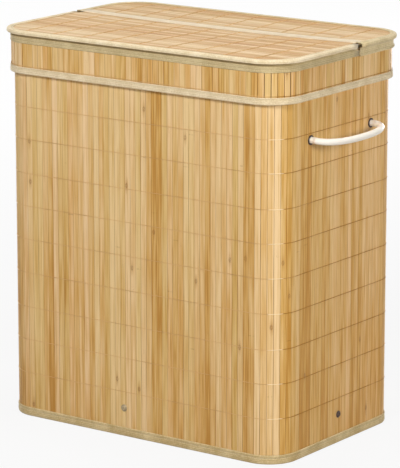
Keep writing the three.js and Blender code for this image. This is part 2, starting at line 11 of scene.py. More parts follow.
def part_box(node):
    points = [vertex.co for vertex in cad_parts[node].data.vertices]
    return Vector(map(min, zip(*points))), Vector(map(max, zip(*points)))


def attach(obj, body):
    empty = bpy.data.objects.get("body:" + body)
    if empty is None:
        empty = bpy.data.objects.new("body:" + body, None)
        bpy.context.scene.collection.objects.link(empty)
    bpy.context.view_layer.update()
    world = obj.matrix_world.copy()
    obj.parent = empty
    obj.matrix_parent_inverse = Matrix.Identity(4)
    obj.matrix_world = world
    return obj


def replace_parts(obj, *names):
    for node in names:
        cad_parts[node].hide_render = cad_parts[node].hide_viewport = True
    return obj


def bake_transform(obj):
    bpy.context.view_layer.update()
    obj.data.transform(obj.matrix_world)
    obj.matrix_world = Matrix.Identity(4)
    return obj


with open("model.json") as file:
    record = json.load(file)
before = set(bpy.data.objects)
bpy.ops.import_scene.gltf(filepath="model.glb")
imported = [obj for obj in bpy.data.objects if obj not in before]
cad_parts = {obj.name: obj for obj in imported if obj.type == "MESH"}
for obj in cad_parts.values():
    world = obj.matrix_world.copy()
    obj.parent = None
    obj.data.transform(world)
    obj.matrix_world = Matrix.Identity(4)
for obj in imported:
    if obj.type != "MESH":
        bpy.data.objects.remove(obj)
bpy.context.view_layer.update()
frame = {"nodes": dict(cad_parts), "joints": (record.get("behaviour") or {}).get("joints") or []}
MM = 0.001

# The photograph's view: from the front right and a little above the lid, through a long lens.
# Its place and turn come from a fit of the basket's known outline to the photograph's edges.
VIEW_PLACE = Vector((2.7143, -3.7634, 1.3792))
VIEW_TURN = math.radians(35.81)
VIEW_TILT = math.radians(13.175)
FOCAL_LENGTH_PIXELS = 3047.1
PHOTO_HEIGHT_PIXELS = 468
SENSOR_MM = 36


def link(obj):
    bpy.context.scene.collection.objects.link(obj)
    return obj


lens = bpy.data.cameras.new("view")
lens.sensor_width = SENSOR_MM
lens.lens = SENSOR_MM * FOCAL_LENGTH_PIXELS / PHOTO_HEIGHT_PIXELS
lens.clip_end = 50
camera = link(bpy.data.objects.new("view", lens))
camera.location = VIEW_PLACE
camera.rotation_euler = Euler((math.pi / 2 - VIEW_TILT, 0, VIEW_TURN))
bpy.context.scene.camera = camera
bpy.context.scene.view_settings.view_transform = "Standard"


# The floor and the light: a white sweep under large soft lamps, high in front and overhead, and lower at
# the sides and behind. The side lamps don't show in the lacquer's shine, where low views would see white
# patches. The floor is white to the camera, more so far away, but still takes the hamper's shadow.
FLOOR_SIZE = 30
FLOOR_DROP = 0.5 * MM
FLOOR_NEAR = 0.6
FLOOR_FAR = 2.5
FLOOR_GLOW_NEAR = 0.9
FLOOR_GLOW_FAR = 0.985
LAMPS = dict(
    front_key=dict(place=(0.45, -2.66, 2.46), size=(0.8, 0.8), power=67),
    overhead=dict(place=(0, 0.1, 3.8), size=(0.8, 0.8), power=43),
    front_fill=dict(place=(0.9, -3.5, 1.4), size=(1.6, 1.6), power=12),
    right_high=dict(place=(3.55, -0.5, 1.5), size=(1.2, 1.2), power=60),
    rear_low=dict(place=(-0.8, 3.9, 0.32), size=(1.6, 0.5), power=74),
    left_low=dict(place=(-3.3, 1.5, 0.32), size=(1.6, 0.5), power=69),
)
UNSEEN_IN_LACQUER = ("right_high", "left_low")
LAMP_AIM = Vector((0, 0, 0.35))
WORLD_LIGHT = 0.03
PURE_WHITE = (1, 1, 1, 1)


def linear(colour):
    """An sRGB colour such as "D8B47C" as the linear values that shaders take, and a socket as it is"""
    if isinstance(colour, bpy.types.NodeSocket):
        return colour
    parts = [int(colour[i : i + 2], 16) / 255 for i in (0, 2, 4)]
    parts = [p / 12.92 if p <= 0.04045 else ((p + 0.055) / 1.055) ** 2.4 for p in parts]
    return (*parts, 1.0)


def add(tree, kind, *values, inputs=None, **settings):
    """Adds a node with its settings, sets or links its inputs in order or by name, and returns its outputs"""
    node = tree.nodes.new(kind)
    for name, value in settings.items():
        setattr(node, name, value)
    for name, value in [*enumerate(values), *(inputs or {}).items()]:
        if isinstance(value, bpy.types.NodeSocket):
            tree.links.new(value, node.inputs[name])
        else:
            node.inputs[name].default_value = value
    return node.outputs


def math_chain(tree, value, *steps):
    """Passes a value through steps such as ("MULTIPLY", 2.0) or ("RANGE", low, high, at_low, at_high)"""
    for operation, *rest in steps:
        if operation == "RANGE":
            value = add(tree, "ShaderNodeMapRange", value, *rest)[0]
        else:
            value = add(tree, "ShaderNodeMath", value, *rest, operation=operation)[0]
    return value


def new_material(name):
    material = bpy.data.materials.new(name)
    material.use_nodes = True
    material.node_tree.nodes.clear()
    return material, material.node_tree


def mesh_object(name, corners, faces, edges=()):
    mesh = bpy.data.meshes.new(name)
    mesh.from_pydata([tuple(c) for c in corners], list(edges), [tuple(f) for f in faces])
    mesh.update()
    return link(bpy.data.objects.new(name, mesh))


def white_rays(tree):
    """1 for the rays that see the studio itself: the camera's, and those in metal or through glass"""
    rays = add(tree, "ShaderNodeLightPath")
    others = [("MAXIMUM", rays[label]) for label in ("Is Glossy Ray", "Is Transmission Ray")]
    return math_chain(tree, rays["Is Camera Ray"], *others)


floor_finish, tree = new_material("white_studio_floor")
place = add(tree, "ShaderNodeTexCoord")["Object"]
away = add(tree, "ShaderNodeVectorMath", place, operation="LENGTH")["Value"]
shown = math_chain(tree, away, ("RANGE", FLOOR_NEAR, FLOOR_FAR, FLOOR_GLOW_NEAR, FLOOR_GLOW_FAR))
shown = math_chain(tree, white_rays(tree), ("MULTIPLY", shown))
matt = add(tree, "ShaderNodeBsdfDiffuse", linear("BDBBB8"))[0]
glow = add(tree, "ShaderNodeEmission", PURE_WHITE, 1.0)[0]
add(tree, "ShaderNodeOutputMaterial", add(tree, "ShaderNodeMixShader", shown, matt, glow)[0])

half = FLOOR_SIZE / 2
floor_corners = [(x, y, -FLOOR_DROP) for x, y in ((-half, -half), (half, -half), (half, half), (-half, half))]
studio_floor = mesh_object("studio_floor", floor_corners, [(0, 1, 2, 3)])
studio_floor.data.materials.append(floor_finish)

for name, lamp in LAMPS.items():
    light = bpy.data.lights.new("lamp_" + name, "AREA")
    light.shape = "RECTANGLE"
    light.size, light.size_y = lamp["size"]
    light.energy = lamp["power"]
    holder = link(bpy.data.objects.new("lamp_" + name, light))
    holder.location = Vector(lamp["place"])
    holder.visible_camera = False
    holder.visible_glossy = name not in UNSEEN_IN_LACQUER
    holder.rotation_euler = (LAMP_AIM - holder.location).to_track_quat("-Z", "Y").to_euler()

world = bpy.data.worlds.new("white_studio")
world.use_nodes = True
world.node_tree.nodes.clear()
tree = world.node_tree
soft = add(tree, "ShaderNodeBackground", PURE_WHITE, WORLD_LIGHT)[0]
white = add(tree, "ShaderNodeBackground", PURE_WHITE, 1.0)[0]
add(tree, "ShaderNodeOutputWorld", add(tree, "ShaderNodeMixShader", white_rays(tree), soft, white)[0])
bpy.context.scene.world = world


# The basket's mat: about 160 upright bamboo slats, split and planed, laid side by side and stitched to a
# cloth backing. Each slat is a little wider, prouder or darker than its neighbour, and bends round the
# corners flat.
wall_low, wall_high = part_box("wall_slats")
HALF_WIDTH = wall_high.x
HALF_DEPTH = wall_high.y
CORNER_RADIUS = 48 * MM
CORNER_STEPS = 18
SIDE_SPACING = 18 * MM
SLAT_PITCH = 10 * MM
SLAT_THICKNESS = 2 * MM
SLAT_SEAM = 0.06 * MM
SLAT_EDGE = 0.26 * MM
SLAT_CROWN = 0.1 * MM
SLAT_NARROWING = 0.022
WALL_FANNING = 0.022
SKIRT_FANNING = 0.09
SEAM_SHADE = 0.9 * MM
SLAT_LEAN = math.radians(1.2)
MERGE_DISTANCE = 0.001 * MM


def finish_with(obj, material):
    """Gives a piece its only material, and smooth shading"""
    obj.data.materials.clear()
    obj.data.materials.append(material)
    obj.data.polygons.foreach_set("use_smooth", [True] * len(obj.data.polygons))
    return obj


def face_out(obj):
    """Turns every face of a closed mesh outwards, after its doubles are merged"""
    shell = bmesh.new()
    shell.from_mesh(obj.data)
    bmesh.ops.remove_doubles(shell, verts=shell.verts, dist=MERGE_DISTANCE)
    bmesh.ops.recalc_face_normals(shell, faces=shell.faces)
    shell.to_mesh(obj.data)
    shell.free()
    return obj


def ring_faces(rings, count, closed=False, capped=True, across=None):
    """Faces between rings of count corners. The last ring joins the first if closed, or else both can have
    caps. Across is how many faces go round, where the rings themselves are open."""
    faces = []
    for ring in range(rings if closed else rings - 1):
        here, ahead = ring * count, (ring + 1) % rings * count
        for i in range(across or count):
            j = (i + 1) % count
            faces.append((here + i, here + j, ahead + j, ahead + i))
    if capped and not closed:
        faces += [tuple(range(count)), tuple(range((rings - 1) * count, rings * count))]
    return faces


def rounded_corner(low, high, radius, corner, steps):
    """Stations round one corner of a box in plan, from 0 at the right rear: a place, and the way out of it"""
    x = low.x + radius if corner in (1, 2) else high.x - radius
    y = low.y + radius if corner in (2, 3) else high.y - radius
    stations = []
    for step in range(steps + 1):
        angle = (corner + step / steps) * math.pi / 2
        out = Vector((math.cos(angle), math.sin(angle)))
        stations.append((Vector((x, y)) + out * radius, out))
    return stations


def filled_in(stations, closed):
    """Adds stations along the straight stretches, so that they can bend"""
    result = []
    for i, (place, out) in enumerate(stations):
        result.append((place, out))
        if i + 1 == len(stations) and not closed:
            break
        next_place, next_out = stations[(i + 1) % len(stations)]
        pieces = int((next_place - place).length / SIDE_SPACING)
        for piece in range(1, pieces):
            share = piece / pieces
            result.append((place.lerp(next_place, share), out.lerp(next_out, share).normalized()))
    return result


basket_plan = Vector((-HALF_WIDTH, -HALF_DEPTH)), Vector((HALF_WIDTH, HALF_DEPTH))
BASKET_CORNERS = [rounded_corner(*basket_plan, CORNER_RADIUS, corner, CORNER_STEPS) for corner in range(4)]
ROUND_BASKET = filled_in(sum(BASKET_CORNERS, []), True)


def path_object(name, offset, height=0.0, stations=ROUND_BASKET, closed=True):
    """A line along stations, at an offset and height in metres, for a tree to follow"""
    corners = [(*(place + out * offset), height) for place, out in stations]
    count = len(corners)
    edges = [(i, (i + 1) % count) for i in range(count if closed else count - 1)]
    return mesh_object(name, corners, [], edges)


def both_sides(middle, right):
    """A symmetrical line: the right side's points mirrored, the middle and the right side"""
    return [*((-x, deep) for x, deep in reversed(right)), middle, *right]


def slat_section(width):
    """Corners across a slat: its crowned face at 0 and its flat back at the slat's thickness"""
    half_face = width / 2
    shoulder = half_face - SLAT_EDGE
    right = [
        (shoulder - SEAM_SHADE, SLAT_CROWN * 0.4),
        (shoulder, SLAT_CROWN * 0.6),
        (half_face - SLAT_EDGE * 0.4, SLAT_EDGE * 0.35 + SLAT_CROWN * 0.8),
        (half_face, SLAT_EDGE + SLAT_CROWN),
    ]
    return [*both_sides((0, 0), right), (half_face, SLAT_THICKNESS), (-half_face, SLAT_THICKNESS)]


def slat_mesh(width, ends, place_corner, across_axis):
    """One slat, with sections at its ends and steps. Its corners have "seam", 1 at its edges and 0 on its
    face, and "across", their metres from its middle."""
    section = slat_section(width)
    corners = [place_corner(along, *corner) for along in ends for corner in section]
    slat = face_out(mesh_object("slat", corners, ring_faces(len(ends), len(section))))
    reach = width / 2 - SLAT_EDGE * 0.9
    across = [vertex.co[across_axis] for vertex in slat.data.vertices]
    for label, values in (("seam", [float(abs(x) > reach) for x in across]), ("across", across)):
        slat.data.attributes.new(label, "FLOAT", "POINT").data.foreach_set("value", values)
    return slat


def new_tree(name, inputs):
    tree = bpy.data.node_groups.new(name, "GeometryNodeTree")
    tree.interface.new_socket("Geometry", in_out="INPUT", socket_type="NodeSocketGeometry")
    for label, kind in inputs.items():
        tree.interface.new_socket(label, in_out="INPUT", socket_type="NodeSocket" + kind)
    tree.interface.new_socket("Geometry", in_out="OUTPUT", socket_type="NodeSocketGeometry")
    return tree, add(tree, "NodeGroupInput")


def close_tree(tree, geometry, given):
    """Makes instances real, gives them their material and ends the tree"""
    real = add(tree, "GeometryNodeRealizeInstances", geometry)[0]
    inputs = {"Geometry": real, "Material": given["Finish"]}
    add(tree, "NodeGroupOutput", add(tree, "GeometryNodeSetMaterial", inputs=inputs)[0])


def random_value(tree, given, **limits):
    inputs = {"Seed": given["Seed"], **limits}
    return add(tree, "FunctionNodeRandomValue", inputs=inputs, data_type="FLOAT")["Value"]


def random_scale(tree, given):
    """A random narrowing across each piece"""
    narrow = math_chain(tree, 1.0, ("SUBTRACT", given["Narrowing"]))
    return random_value(tree, given, Min=narrow, Max=1.0, ID=add(tree, "GeometryNodeInputIndex")[0])


def instances(tree, points, given, rotation, scale):
    """An instance of the given piece at each point, each with a random tone of its own"""
    piece = add(tree, "GeometryNodeObjectInfo", inputs={"Object": given["Piece"]})["Geometry"]
    inputs = {"Points": points, "Instance": piece, "Rotation": rotation, "Scale": scale}
    placed = add(tree, "GeometryNodeInstanceOnPoints", inputs=inputs)[0]
    inputs = {"Geometry": placed, "Name": "tone", "Value": random_value(tree, given)}
    settings = dict(data_type="FLOAT", domain="INSTANCE")
    return add(tree, "GeometryNodeStoreNamedAttribute", inputs=inputs, **settings)[0]


def run_tree(name, source, tree, values):
    """Runs a tree on an object and returns what it makes as a plain mesh object"""
    modifier = source.modifiers.new(name, "NODES")
    modifier.node_group = tree
    for item in tree.interface.items_tree:
        if item.in_out == "INPUT" and item.name in values:
            modifier[item.identifier] = values[item.name]
    evaluated = source.evaluated_get(bpy.context.evaluated_depsgraph_get())
    mesh = bpy.data.meshes.new_from_object(evaluated)
    mesh.name = name
    result = link(bpy.data.objects.new(name, mesh))
    source.modifiers.remove(modifier)
    bpy.data.objects.remove(source)
    bpy.data.objects.remove(values["Piece"])
    return result


ring_inputs = dict(Piece="Object", Count="Int", Narrowing="Float", Fanning="Float", Lean="Float", Seed="Int")
ring_tree, given = new_tree("pieces_round_a_path", ring_inputs | dict(Finish="Material"))
path = add(ring_tree, "GeometryNodeMeshToCurve", given["Geometry"])[0]
inputs = {"Curve": path, "Count": given["Count"]}
points = add(ring_tree, "GeometryNodeCurveToPoints", inputs=inputs, mode="COUNT")
inputs = {"Vector": points["Tangent"]}
along = add(ring_tree, "FunctionNodeAlignRotationToVector", inputs=inputs, axis="X", pivot_axis="Z")[0]
least = math_chain(ring_tree, given["Lean"], ("MULTIPLY", -1.0))
lean = random_value(ring_tree, given, Min=least, Max=given["Lean"])
turn = add(ring_tree, "ShaderNodeCombineXYZ", 0.0, 0.0, lean)[0]
turned = add(ring_tree, "FunctionNodeEulerToRotation", turn)[0]
inputs = {"Rotation": along, "Rotate By": turned}
rotation = add(ring_tree, "FunctionNodeRotateRotation", inputs=inputs, rotation_space="LOCAL")[0]
way = add(ring_tree, "ShaderNodeSeparateXYZ", points["Tangent"])
bend = math_chain(ring_tree, way["X"], ("MULTIPLY", way["Y"]), ("ABSOLUTE",), ("RANGE", 0.05, 0.2, 0.0, 1.0))
opened = math_chain(ring_tree, bend, ("MULTIPLY", given["Fanning"]))
across = math_chain(ring_tree, random_scale(ring_tree, given), ("SUBTRACT", opened))
scale = add(ring_tree, "ShaderNodeCombineXYZ", across, 1.0, 1.0)[0]
close_tree(ring_tree, instances(ring_tree, points["Points"], given, rotation, scale), given)


# Split bamboo: pale outer culm, planed and clear lacquered. The eye sees straight fibres, a satin shine,
# slats of straw and peach that differ softly and change along their length, and here and there the
# small dark eye where a shoot grew, in a browner stain. The real fibres are 0.3 mm apart; they are drawn at
# nearly twice that, in broader streaks. The lacquer pools and darkens unevenly beside the seams.
# The slats are also drawn darker towards the floor, and darker, more golden and with more contrast on the
# end walls: painted shade.
FIBRE = dict(width=0.55 * MM, length=90 * MM, detail=3.0)
STREAK = dict(width=2.1 * MM, length=120 * MM, detail=2.0)
FLAME = dict(width=7 * MM, length=85 * MM, detail=2.0)
CULM_DRIFT = dict(width=60 * MM, length=700 * MM, detail=2.0)
POOLING = dict(width=6 * MM, length=130 * MM, detail=2.0)
GRAIN_WEIGHTS = dict(streak=1.0, flame=0.75, drift=0.9, fibre=0.25)
TONE_AT_LIGHTEST, TONE_AT_DARKEST = -1.24, -0.82
MIDDLE_TONE = 0.45
# Painted shade: the walls are drawn darker at the foot and on the end walls, with more contrast and a more
# golden colour there
FACE_CONTRAST, END_CONTRAST = 1.32, 1.62
WALL_FOOT_SHADE, WALL_END_SHADE = 0.12, 0.16
FIBRE_SHADE = 0.35
FIBRE_SHOWN, POOLING_SHOWN = (0.55, 0.75), (0.38, 0.7)
SHADED_HONEY_SHARE = 1.3
EYE_SPACING = 340 * MM
EYE_CHANCE = 0.16
EYE_WIDTH = 1.7 * MM
EYE_HEIGHT = 2.9 * MM
EYE_ROOM = 5 * MM
EYE_RING = 1.5
EYE_TEARING = 1.2
EYE_BLUR, STAIN_BLUR = (0.1, 0.8), (0.2, 1.2)
STAIN_WIDTH = 3.2 * MM
STAIN_HEIGHT = 13 * MM
STAIN_SHADE = 0.55
KNUCKLE_SPACING = 330 * MM
KNUCKLE_WIDTH = 1.1 * MM
KNUCKLE_CHANCE = 0.14
KNUCKLE_BREAKS = 0.42, 0.58
MARK_SHADE = 0.52
MARK_RELIEF = 1.4
STRAW_TONES = [(0.0, "EBCB90"), (0.35, "E0BD7B"), (0.7, "D1A65B"), (1.0, "B98539")]
PEACH_TONES = [(0.0, "F4D2A2"), (0.35, "E8C08A"), (0.7, "DAA964"), (1.0, "C28B41")]
BAMBOO_FIBRE = "A8763C"
# The golden colour of the end walls' painted shade
BAMBOO_SHADED_HONEY = "E2A648"
BAMBOO_MARK = "85531F"
BAMBOO_STAIN = "B27A36"
BAMBOO_SEAM = "8A5A20"
SEAM_POOLING = 0.74
NOISE_SPAN = 0.3, 0.7
LACQUER_GLOSS = 0.38, 0.54
LACQUER_BUMP = 0.3, 0.12 * MM
LACQUER_IOR, LACQUER_SPECULAR = 1.5, 0.28
SLAT_SHIFT, EYE_SHIFT, KNUCKLE_SHIFT = 7.31, 37.1, 23.7


def slat_tones(tree, level, tones):
    """The colour at a level, between given tones"""
    colour = add(tree, "ShaderNodeValToRGB", level)[0]
    stops = colour.node.color_ramp.elements
    while len(stops) < len(tones):
        stops.new(0.5)
    for stop, (position, tone) in zip(stops, tones):
        stop.position = position
        stop.color = linear(tone)
    return colour


def layered(tree, colour, *layers):
    """Lays colours over a first one, each by its share"""
    for share, over in layers:
        inputs = {0: share, 6: linear(colour), 7: linear(over)}
        colour = add(tree, "ShaderNodeMix", inputs=inputs, data_type="RGBA")[2]
    return colour


def end_material(tree, colour, gloss, relief=None, **more):
    """Ends a tree with its surface. The relief is a height with the strength and distance of its bump."""
    inputs = {"Base Color": linear(colour), "Roughness": gloss}
    inputs.update((name.replace("_", " "), value) for name, value in more.items())
    if relief:
        bump = dict(zip(("Height", "Strength", "Distance"), relief))
        inputs["Normal"] = add(tree, "ShaderNodeBump", inputs=bump)[0]
    add(tree, "ShaderNodeOutputMaterial", add(tree, "ShaderNodeBsdfPrincipled", inputs=inputs)[0])


def streaks(tree, place, along_axis, width, length, detail):
    """Noise that is drawn out along one axis"""
    scale = [1 / width] * 3
    scale[along_axis] = 1 / length
    spot = add(tree, "ShaderNodeMapping", inputs={"Vector": place, "Scale": scale})[0]
    return add(tree, "ShaderNodeTexNoise", inputs={"Vector": spot, "Scale": 1.0, "Detail": detail})["Fac"]


def per_slat_cell(tree, along, tone, spacing, shift):
    """Cuts each slat into lengths of its own: a random colour for this one, and a place in it from 0 to 1"""
    count = math_chain(tree, tone, ("MULTIPLY", shift))
    count = math_chain(tree, along, ("MULTIPLY_ADD", 1 / spacing, count))
    key = add(tree, "ShaderNodeCombineXYZ", math_chain(tree, count, ("FLOOR",)), tone)[0]
    chances = add(tree, "ShaderNodeTexWhiteNoise", inputs={"Vector": key}, noise_dimensions="3D")["Color"]
    return add(tree, "ShaderNodeSeparateXYZ", chances), math_chain(tree, count, ("FRACT",))


def split_bamboo(name, along_axis, straw_tones, peach_tones, foot_shade, end_shade):
    """Foot shade and end shade draw the slats darker towards the floor and on the end walls: painted shade"""
    material, tree = new_material(name)
    place = add(tree, "ShaderNodeTexCoord")["Object"]
    tone, across, by_seam = (
        add(tree, "ShaderNodeAttribute", attribute_name=label)["Fac"] for label in ("tone", "across", "seam")
    )
    parts = add(tree, "ShaderNodeSeparateXYZ", place)
    along = parts[along_axis]
    shift = math_chain(tree, tone, ("MULTIPLY", SLAT_SHIFT))
    moved = add(tree, "ShaderNodeVectorMath", place, shift, operation="ADD")[0]
    fibre, streak, flame = (streaks(tree, moved, along_axis, **kind) for kind in (FIBRE, STREAK, FLAME))
    drift, pooling = (streaks(tree, place, along_axis, **kind) for kind in (CULM_DRIFT, POOLING))

    level = math_chain(tree, tone, ("RANGE", 0.0, 1.0, TONE_AT_LIGHTEST, TONE_AT_DARKEST))
    for grain, weight in zip((streak, flame, drift, fibre), GRAIN_WEIGHTS.values()):
        level = math_chain(tree, grain, ("MULTIPLY_ADD", weight, level))
    # Painted shade: darker towards the floor, and darker with more contrast on the end walls
    lower = math_chain(tree, parts["Z"], ("RANGE", wall_low.z, wall_high.z, foot_shade, -foot_shade))
    end_from, end_to = HALF_WIDTH - CORNER_RADIUS / 4, HALF_WIDTH - CORNER_RADIUS / 12
    on_end_shade = math_chain(tree, parts["X"], ("ABSOLUTE",), ("RANGE", end_from, end_to, 0.0, end_shade))
    contrast = math_chain(tree, on_end_shade, ("RANGE", 0.0, WALL_END_SHADE, FACE_CONTRAST, END_CONTRAST))
    level = math_chain(tree, level, ("SUBTRACT", MIDDLE_TONE), ("MULTIPLY", contrast), ("ADD", MIDDLE_TONE))
    level = math_chain(tree, level, ("ADD", lower), ("ADD", on_end_shade))
    level = add(tree, "ShaderNodeMath", level, 0.0, operation="ADD", use_clamp=True)[0]
    kind = add(tree, "ShaderNodeTexWhiteNoise", inputs={"W": shift}, noise_dimensions="1D")["Value"]
    straw, peach = (slat_tones(tree, level, tones) for tones in (straw_tones, peach_tones))

    chances, cell_place = per_slat_cell(tree, along, tone, EYE_SPACING, EYE_SHIFT)
    off_along = math_chain(tree, chances["Y"], ("SUBTRACT", cell_place), ("MULTIPLY", EYE_SPACING))
    eye_across = math_chain(tree, chances["Z"], ("SUBTRACT", 0.5), ("MULTIPLY", EYE_ROOM))
    off_across = math_chain(tree, eye_across, ("SUBTRACT", across))
    has_eye = math_chain(tree, chances["X"], ("LESS_THAN", EYE_CHANCE))
    reaches = []
    for width, height in ((EYE_WIDTH, EYE_HEIGHT), (STAIN_WIDTH, STAIN_HEIGHT)):
        wide = math_chain(tree, off_across, ("DIVIDE", width))
        high = math_chain(tree, off_along, ("DIVIDE", height))
        spot = add(tree, "ShaderNodeCombineXYZ", wide, high)[0]
        reaches.append(add(tree, "ShaderNodeVectorMath", spot, operation="LENGTH")["Value"])
    off_ring = math_chain(tree, fibre, ("MULTIPLY_ADD", EYE_TEARING, reaches[0]), ("SUBTRACT", EYE_RING))
    eye = math_chain(tree, off_ring, ("ABSOLUTE",), ("RANGE", *EYE_BLUR, 1.0, 0.0), ("MULTIPLY", has_eye))
    stain = math_chain(tree, reaches[1], ("RANGE", *STAIN_BLUR, STAIN_SHADE, 0.0), ("MULTIPLY", has_eye))

    chances, cell_place = per_slat_cell(tree, along, tone, KNUCKLE_SPACING, KNUCKLE_SHIFT)
    line = math_chain(tree, cell_place, ("SUBTRACT", 0.5), ("ABSOLUTE",))
    line = math_chain(tree, line, ("RANGE", 0.0, KNUCKLE_WIDTH / KNUCKLE_SPACING, 1.0, 0.0))
    shown = math_chain(tree, chances["X"], ("LESS_THAN", KNUCKLE_CHANCE))
    broken = math_chain(tree, streak, ("RANGE", *KNUCKLE_BREAKS, 0.0, 1.0))
    mark = math_chain(tree, line, ("MULTIPLY", shown), ("MULTIPLY", broken), ("MAXIMUM", eye))

    fibred = math_chain(tree, fibre, ("RANGE", *FIBRE_SHOWN, 0.0, FIBRE_SHADE))
    # Painted shade: the end walls drawn more golden
    shaded_honey = math_chain(tree, on_end_shade, ("MULTIPLY", SHADED_HONEY_SHARE))
    pooled = math_chain(tree, pooling, ("RANGE", *POOLING_SHOWN, 0.0, SEAM_POOLING), ("MULTIPLY", by_seam))
    marked = math_chain(tree, mark, ("MULTIPLY", MARK_SHADE))
    grown = (kind, peach), (fibred, BAMBOO_FIBRE), (shaded_honey, BAMBOO_SHADED_HONEY)
    worked = (pooled, BAMBOO_SEAM), (stain, BAMBOO_STAIN), (marked, BAMBOO_MARK)
    colour = layered(tree, straw, *grown, *worked)
    relief = math_chain(tree, mark, ("MULTIPLY_ADD", MARK_RELIEF, fibre)), *LACQUER_BUMP
    gloss = math_chain(tree, fibre, ("RANGE", *NOISE_SPAN, *LACQUER_GLOSS))
    end_material(tree, colour, gloss, relief, IOR=LACQUER_IOR, Specular_IOR_Level=LACQUER_SPECULAR)
    return material


upright_bamboo = split_bamboo(
    "split_bamboo_upright_lacquered", 2, STRAW_TONES, PEACH_TONES, WALL_FOOT_SHADE, WALL_END_SHADE
)


def slat_ring(name, offset, bottom, top, seed, fanning, bamboo):
    """A ring of upright slats whose faces lie at an offset from the basket's face"""
    radius = CORNER_RADIUS + offset
    straight = 4 * (HALF_WIDTH + HALF_DEPTH + 2 * offset) - 8 * radius
    count = round((straight + 2 * math.pi * radius) / SLAT_PITCH)
    slat = slat_mesh(SLAT_PITCH - SLAT_SEAM, (bottom, top), lambda z, across, deep: (across, deep, z), 0)
    values = dict(Piece=slat, Count=count, Narrowing=SLAT_NARROWING, Fanning=fanning, Lean=SLAT_LEAN)
    values |= dict(Seed=seed, Finish=bamboo)
    return run_tree(name, path_object("slat_path", offset), ring_tree, values), count


WALL_SEED = 5
wall_mat, wall_count = slat_ring(
    "wall_mat", 0, wall_low.z, wall_high.z, WALL_SEED, WALL_FANNING, upright_bamboo
)
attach(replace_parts(wall_mat, "wall_slats"), "basket")


# The mat's stitching: nine level rows of brown nylon thread, which passes over each slat's face and dives
# into the seam beside it. The clear brown nylon takes the slats' colour in places. It is drawn browner on
# the end walls, as painted shade, and pale at the middle of each basket corner, as a painted glint.
STITCH_ROWS = [71, 125, 178, 233, 287, 340, 392, 446, 497]
THREAD_RADIUS = 0.42 * MM
THREAD_DIVE = 1.0 * MM
THREAD_SIDES = 5
FADE_LENGTH = 55 * MM
FADE_HEIGHT = 9 * MM
# Painted shade: how much browner the thread is drawn on the end walls
END_WALL_THREAD_SHADE = 0.42
# The last colour is the pale of the painted glint at the corners
THREAD_CLEAR, THREAD_BROWN, THREAD_PAINTED_GLINT = "DEB57C", "A56F24", "FFECC6"
THREAD_TWIST = 0.8 * MM
BELOW_THE_LID, IN_THE_LID = 0.54, 0.55


def circle(place, side, up, radius, sides):
    """Corners round a place, in the plane of two ways"""
    angles = [2 * math.pi * k / sides for k in range(sides)]
    return [place + (side * math.cos(angle) + up * math.sin(angle)) * radius for angle in angles]


def strand(path, radius, sides=THREAD_SIDES, across=Vector((0, 0, 1))):
    """Corners and faces of a round strand along a path that lies in a plane square to across"""
    corners = []
    for i, place in enumerate(path):
        forward = (path[min(i + 1, len(path) - 1)] - path[max(i - 1, 0)]).normalized()
        corners += circle(place, forward.cross(across).normalized(), across, radius, sides)
    return corners, ring_faces(len(path), sides)


def strands_object(name, strands):
    corners, faces = [], []
    for more_corners, more_faces in strands:
        start = len(corners)
        corners += more_corners
        faces += [tuple(start + i for i in face) for face in more_faces]
    return face_out(mesh_object(name, corners, faces))


nylon_thread, tree = new_material("nylon_thread_brown_drawn")
place = add(tree, "ShaderNodeTexCoord")["Object"]
parts = add(tree, "ShaderNodeSeparateXYZ", place)
past_side, past_front = (
    math_chain(tree, parts[axis], ("ABSOLUTE",), ("SUBTRACT", reach - CORNER_RADIUS))
    for axis, reach in (("X", HALF_WIDTH), ("Y", HALF_DEPTH))
)
end_from, end_to = CORNER_RADIUS / 2, CORNER_RADIUS * 5 / 6
# Painted shade: browner on the end walls
on_end_shade = math_chain(tree, past_side, ("RANGE", end_from, end_to, 0.0, END_WALL_THREAD_SHADE))
fade = streaks(tree, place, 2, FADE_LENGTH, FADE_HEIGHT, 2.0)
browned_and_shaded = math_chain(tree, fade, ("ADD", on_end_shade), ("RANGE", 0.46, 0.92, 0.0, 1.0))
# Painted glint: pale at the middle of each basket corner, below the lid
glint_from, glint_to = CORNER_RADIUS * 0.5, CORNER_RADIUS * 0.56
painted_glint = math_chain(tree, past_side, ("MINIMUM", past_front), ("RANGE", glint_from, glint_to, 0.0, 1.0))
on_basket = math_chain(tree, parts["Z"], ("RANGE", BELOW_THE_LID, IN_THE_LID, 1.0, 0.0))
painted_glint = math_chain(tree, painted_glint, ("MULTIPLY", on_basket))
colour = layered(tree, THREAD_CLEAR, (browned_and_shaded, THREAD_BROWN), (painted_glint, THREAD_PAINTED_GLINT))
inputs = {"Vector": place, "Scale": 1 / THREAD_TWIST, "Detail": 1.0}
twist = add(tree, "ShaderNodeTexNoise", inputs=inputs)["Fac"]
end_material(tree, colour, 0.45, (twist, 0.3, 0.1 * MM), IOR=1.53, Specular_IOR_Level=0.12)


def stitch_path(half_face, height):
    """Over a slat's face, which lies at 0 with the slat behind it, and down into the seams"""
    over = -THREAD_RADIUS * 0.8
    right = [
        (half_face - SLAT_EDGE * 1.6, over + SLAT_CROWN * 0.4),
        (half_face - SLAT_EDGE * 0.3, over + SLAT_EDGE * 0.5),
        (half_face + SLAT_SEAM / 2, THREAD_DIVE),
    ]
    return [Vector((x, deep, height)) for x, deep in both_sides((0, over), right)]


def stitch_row(name, stitch, path, count, seed, thread):
    """Copies of a stitch along a path"""
    values = dict(Piece=stitch, Count=count, Narrowing=0.0, Lean=0.0, Seed=seed, Finish=thread)
    return finish_with(run_tree(name, path, ring_tree, values), thread)


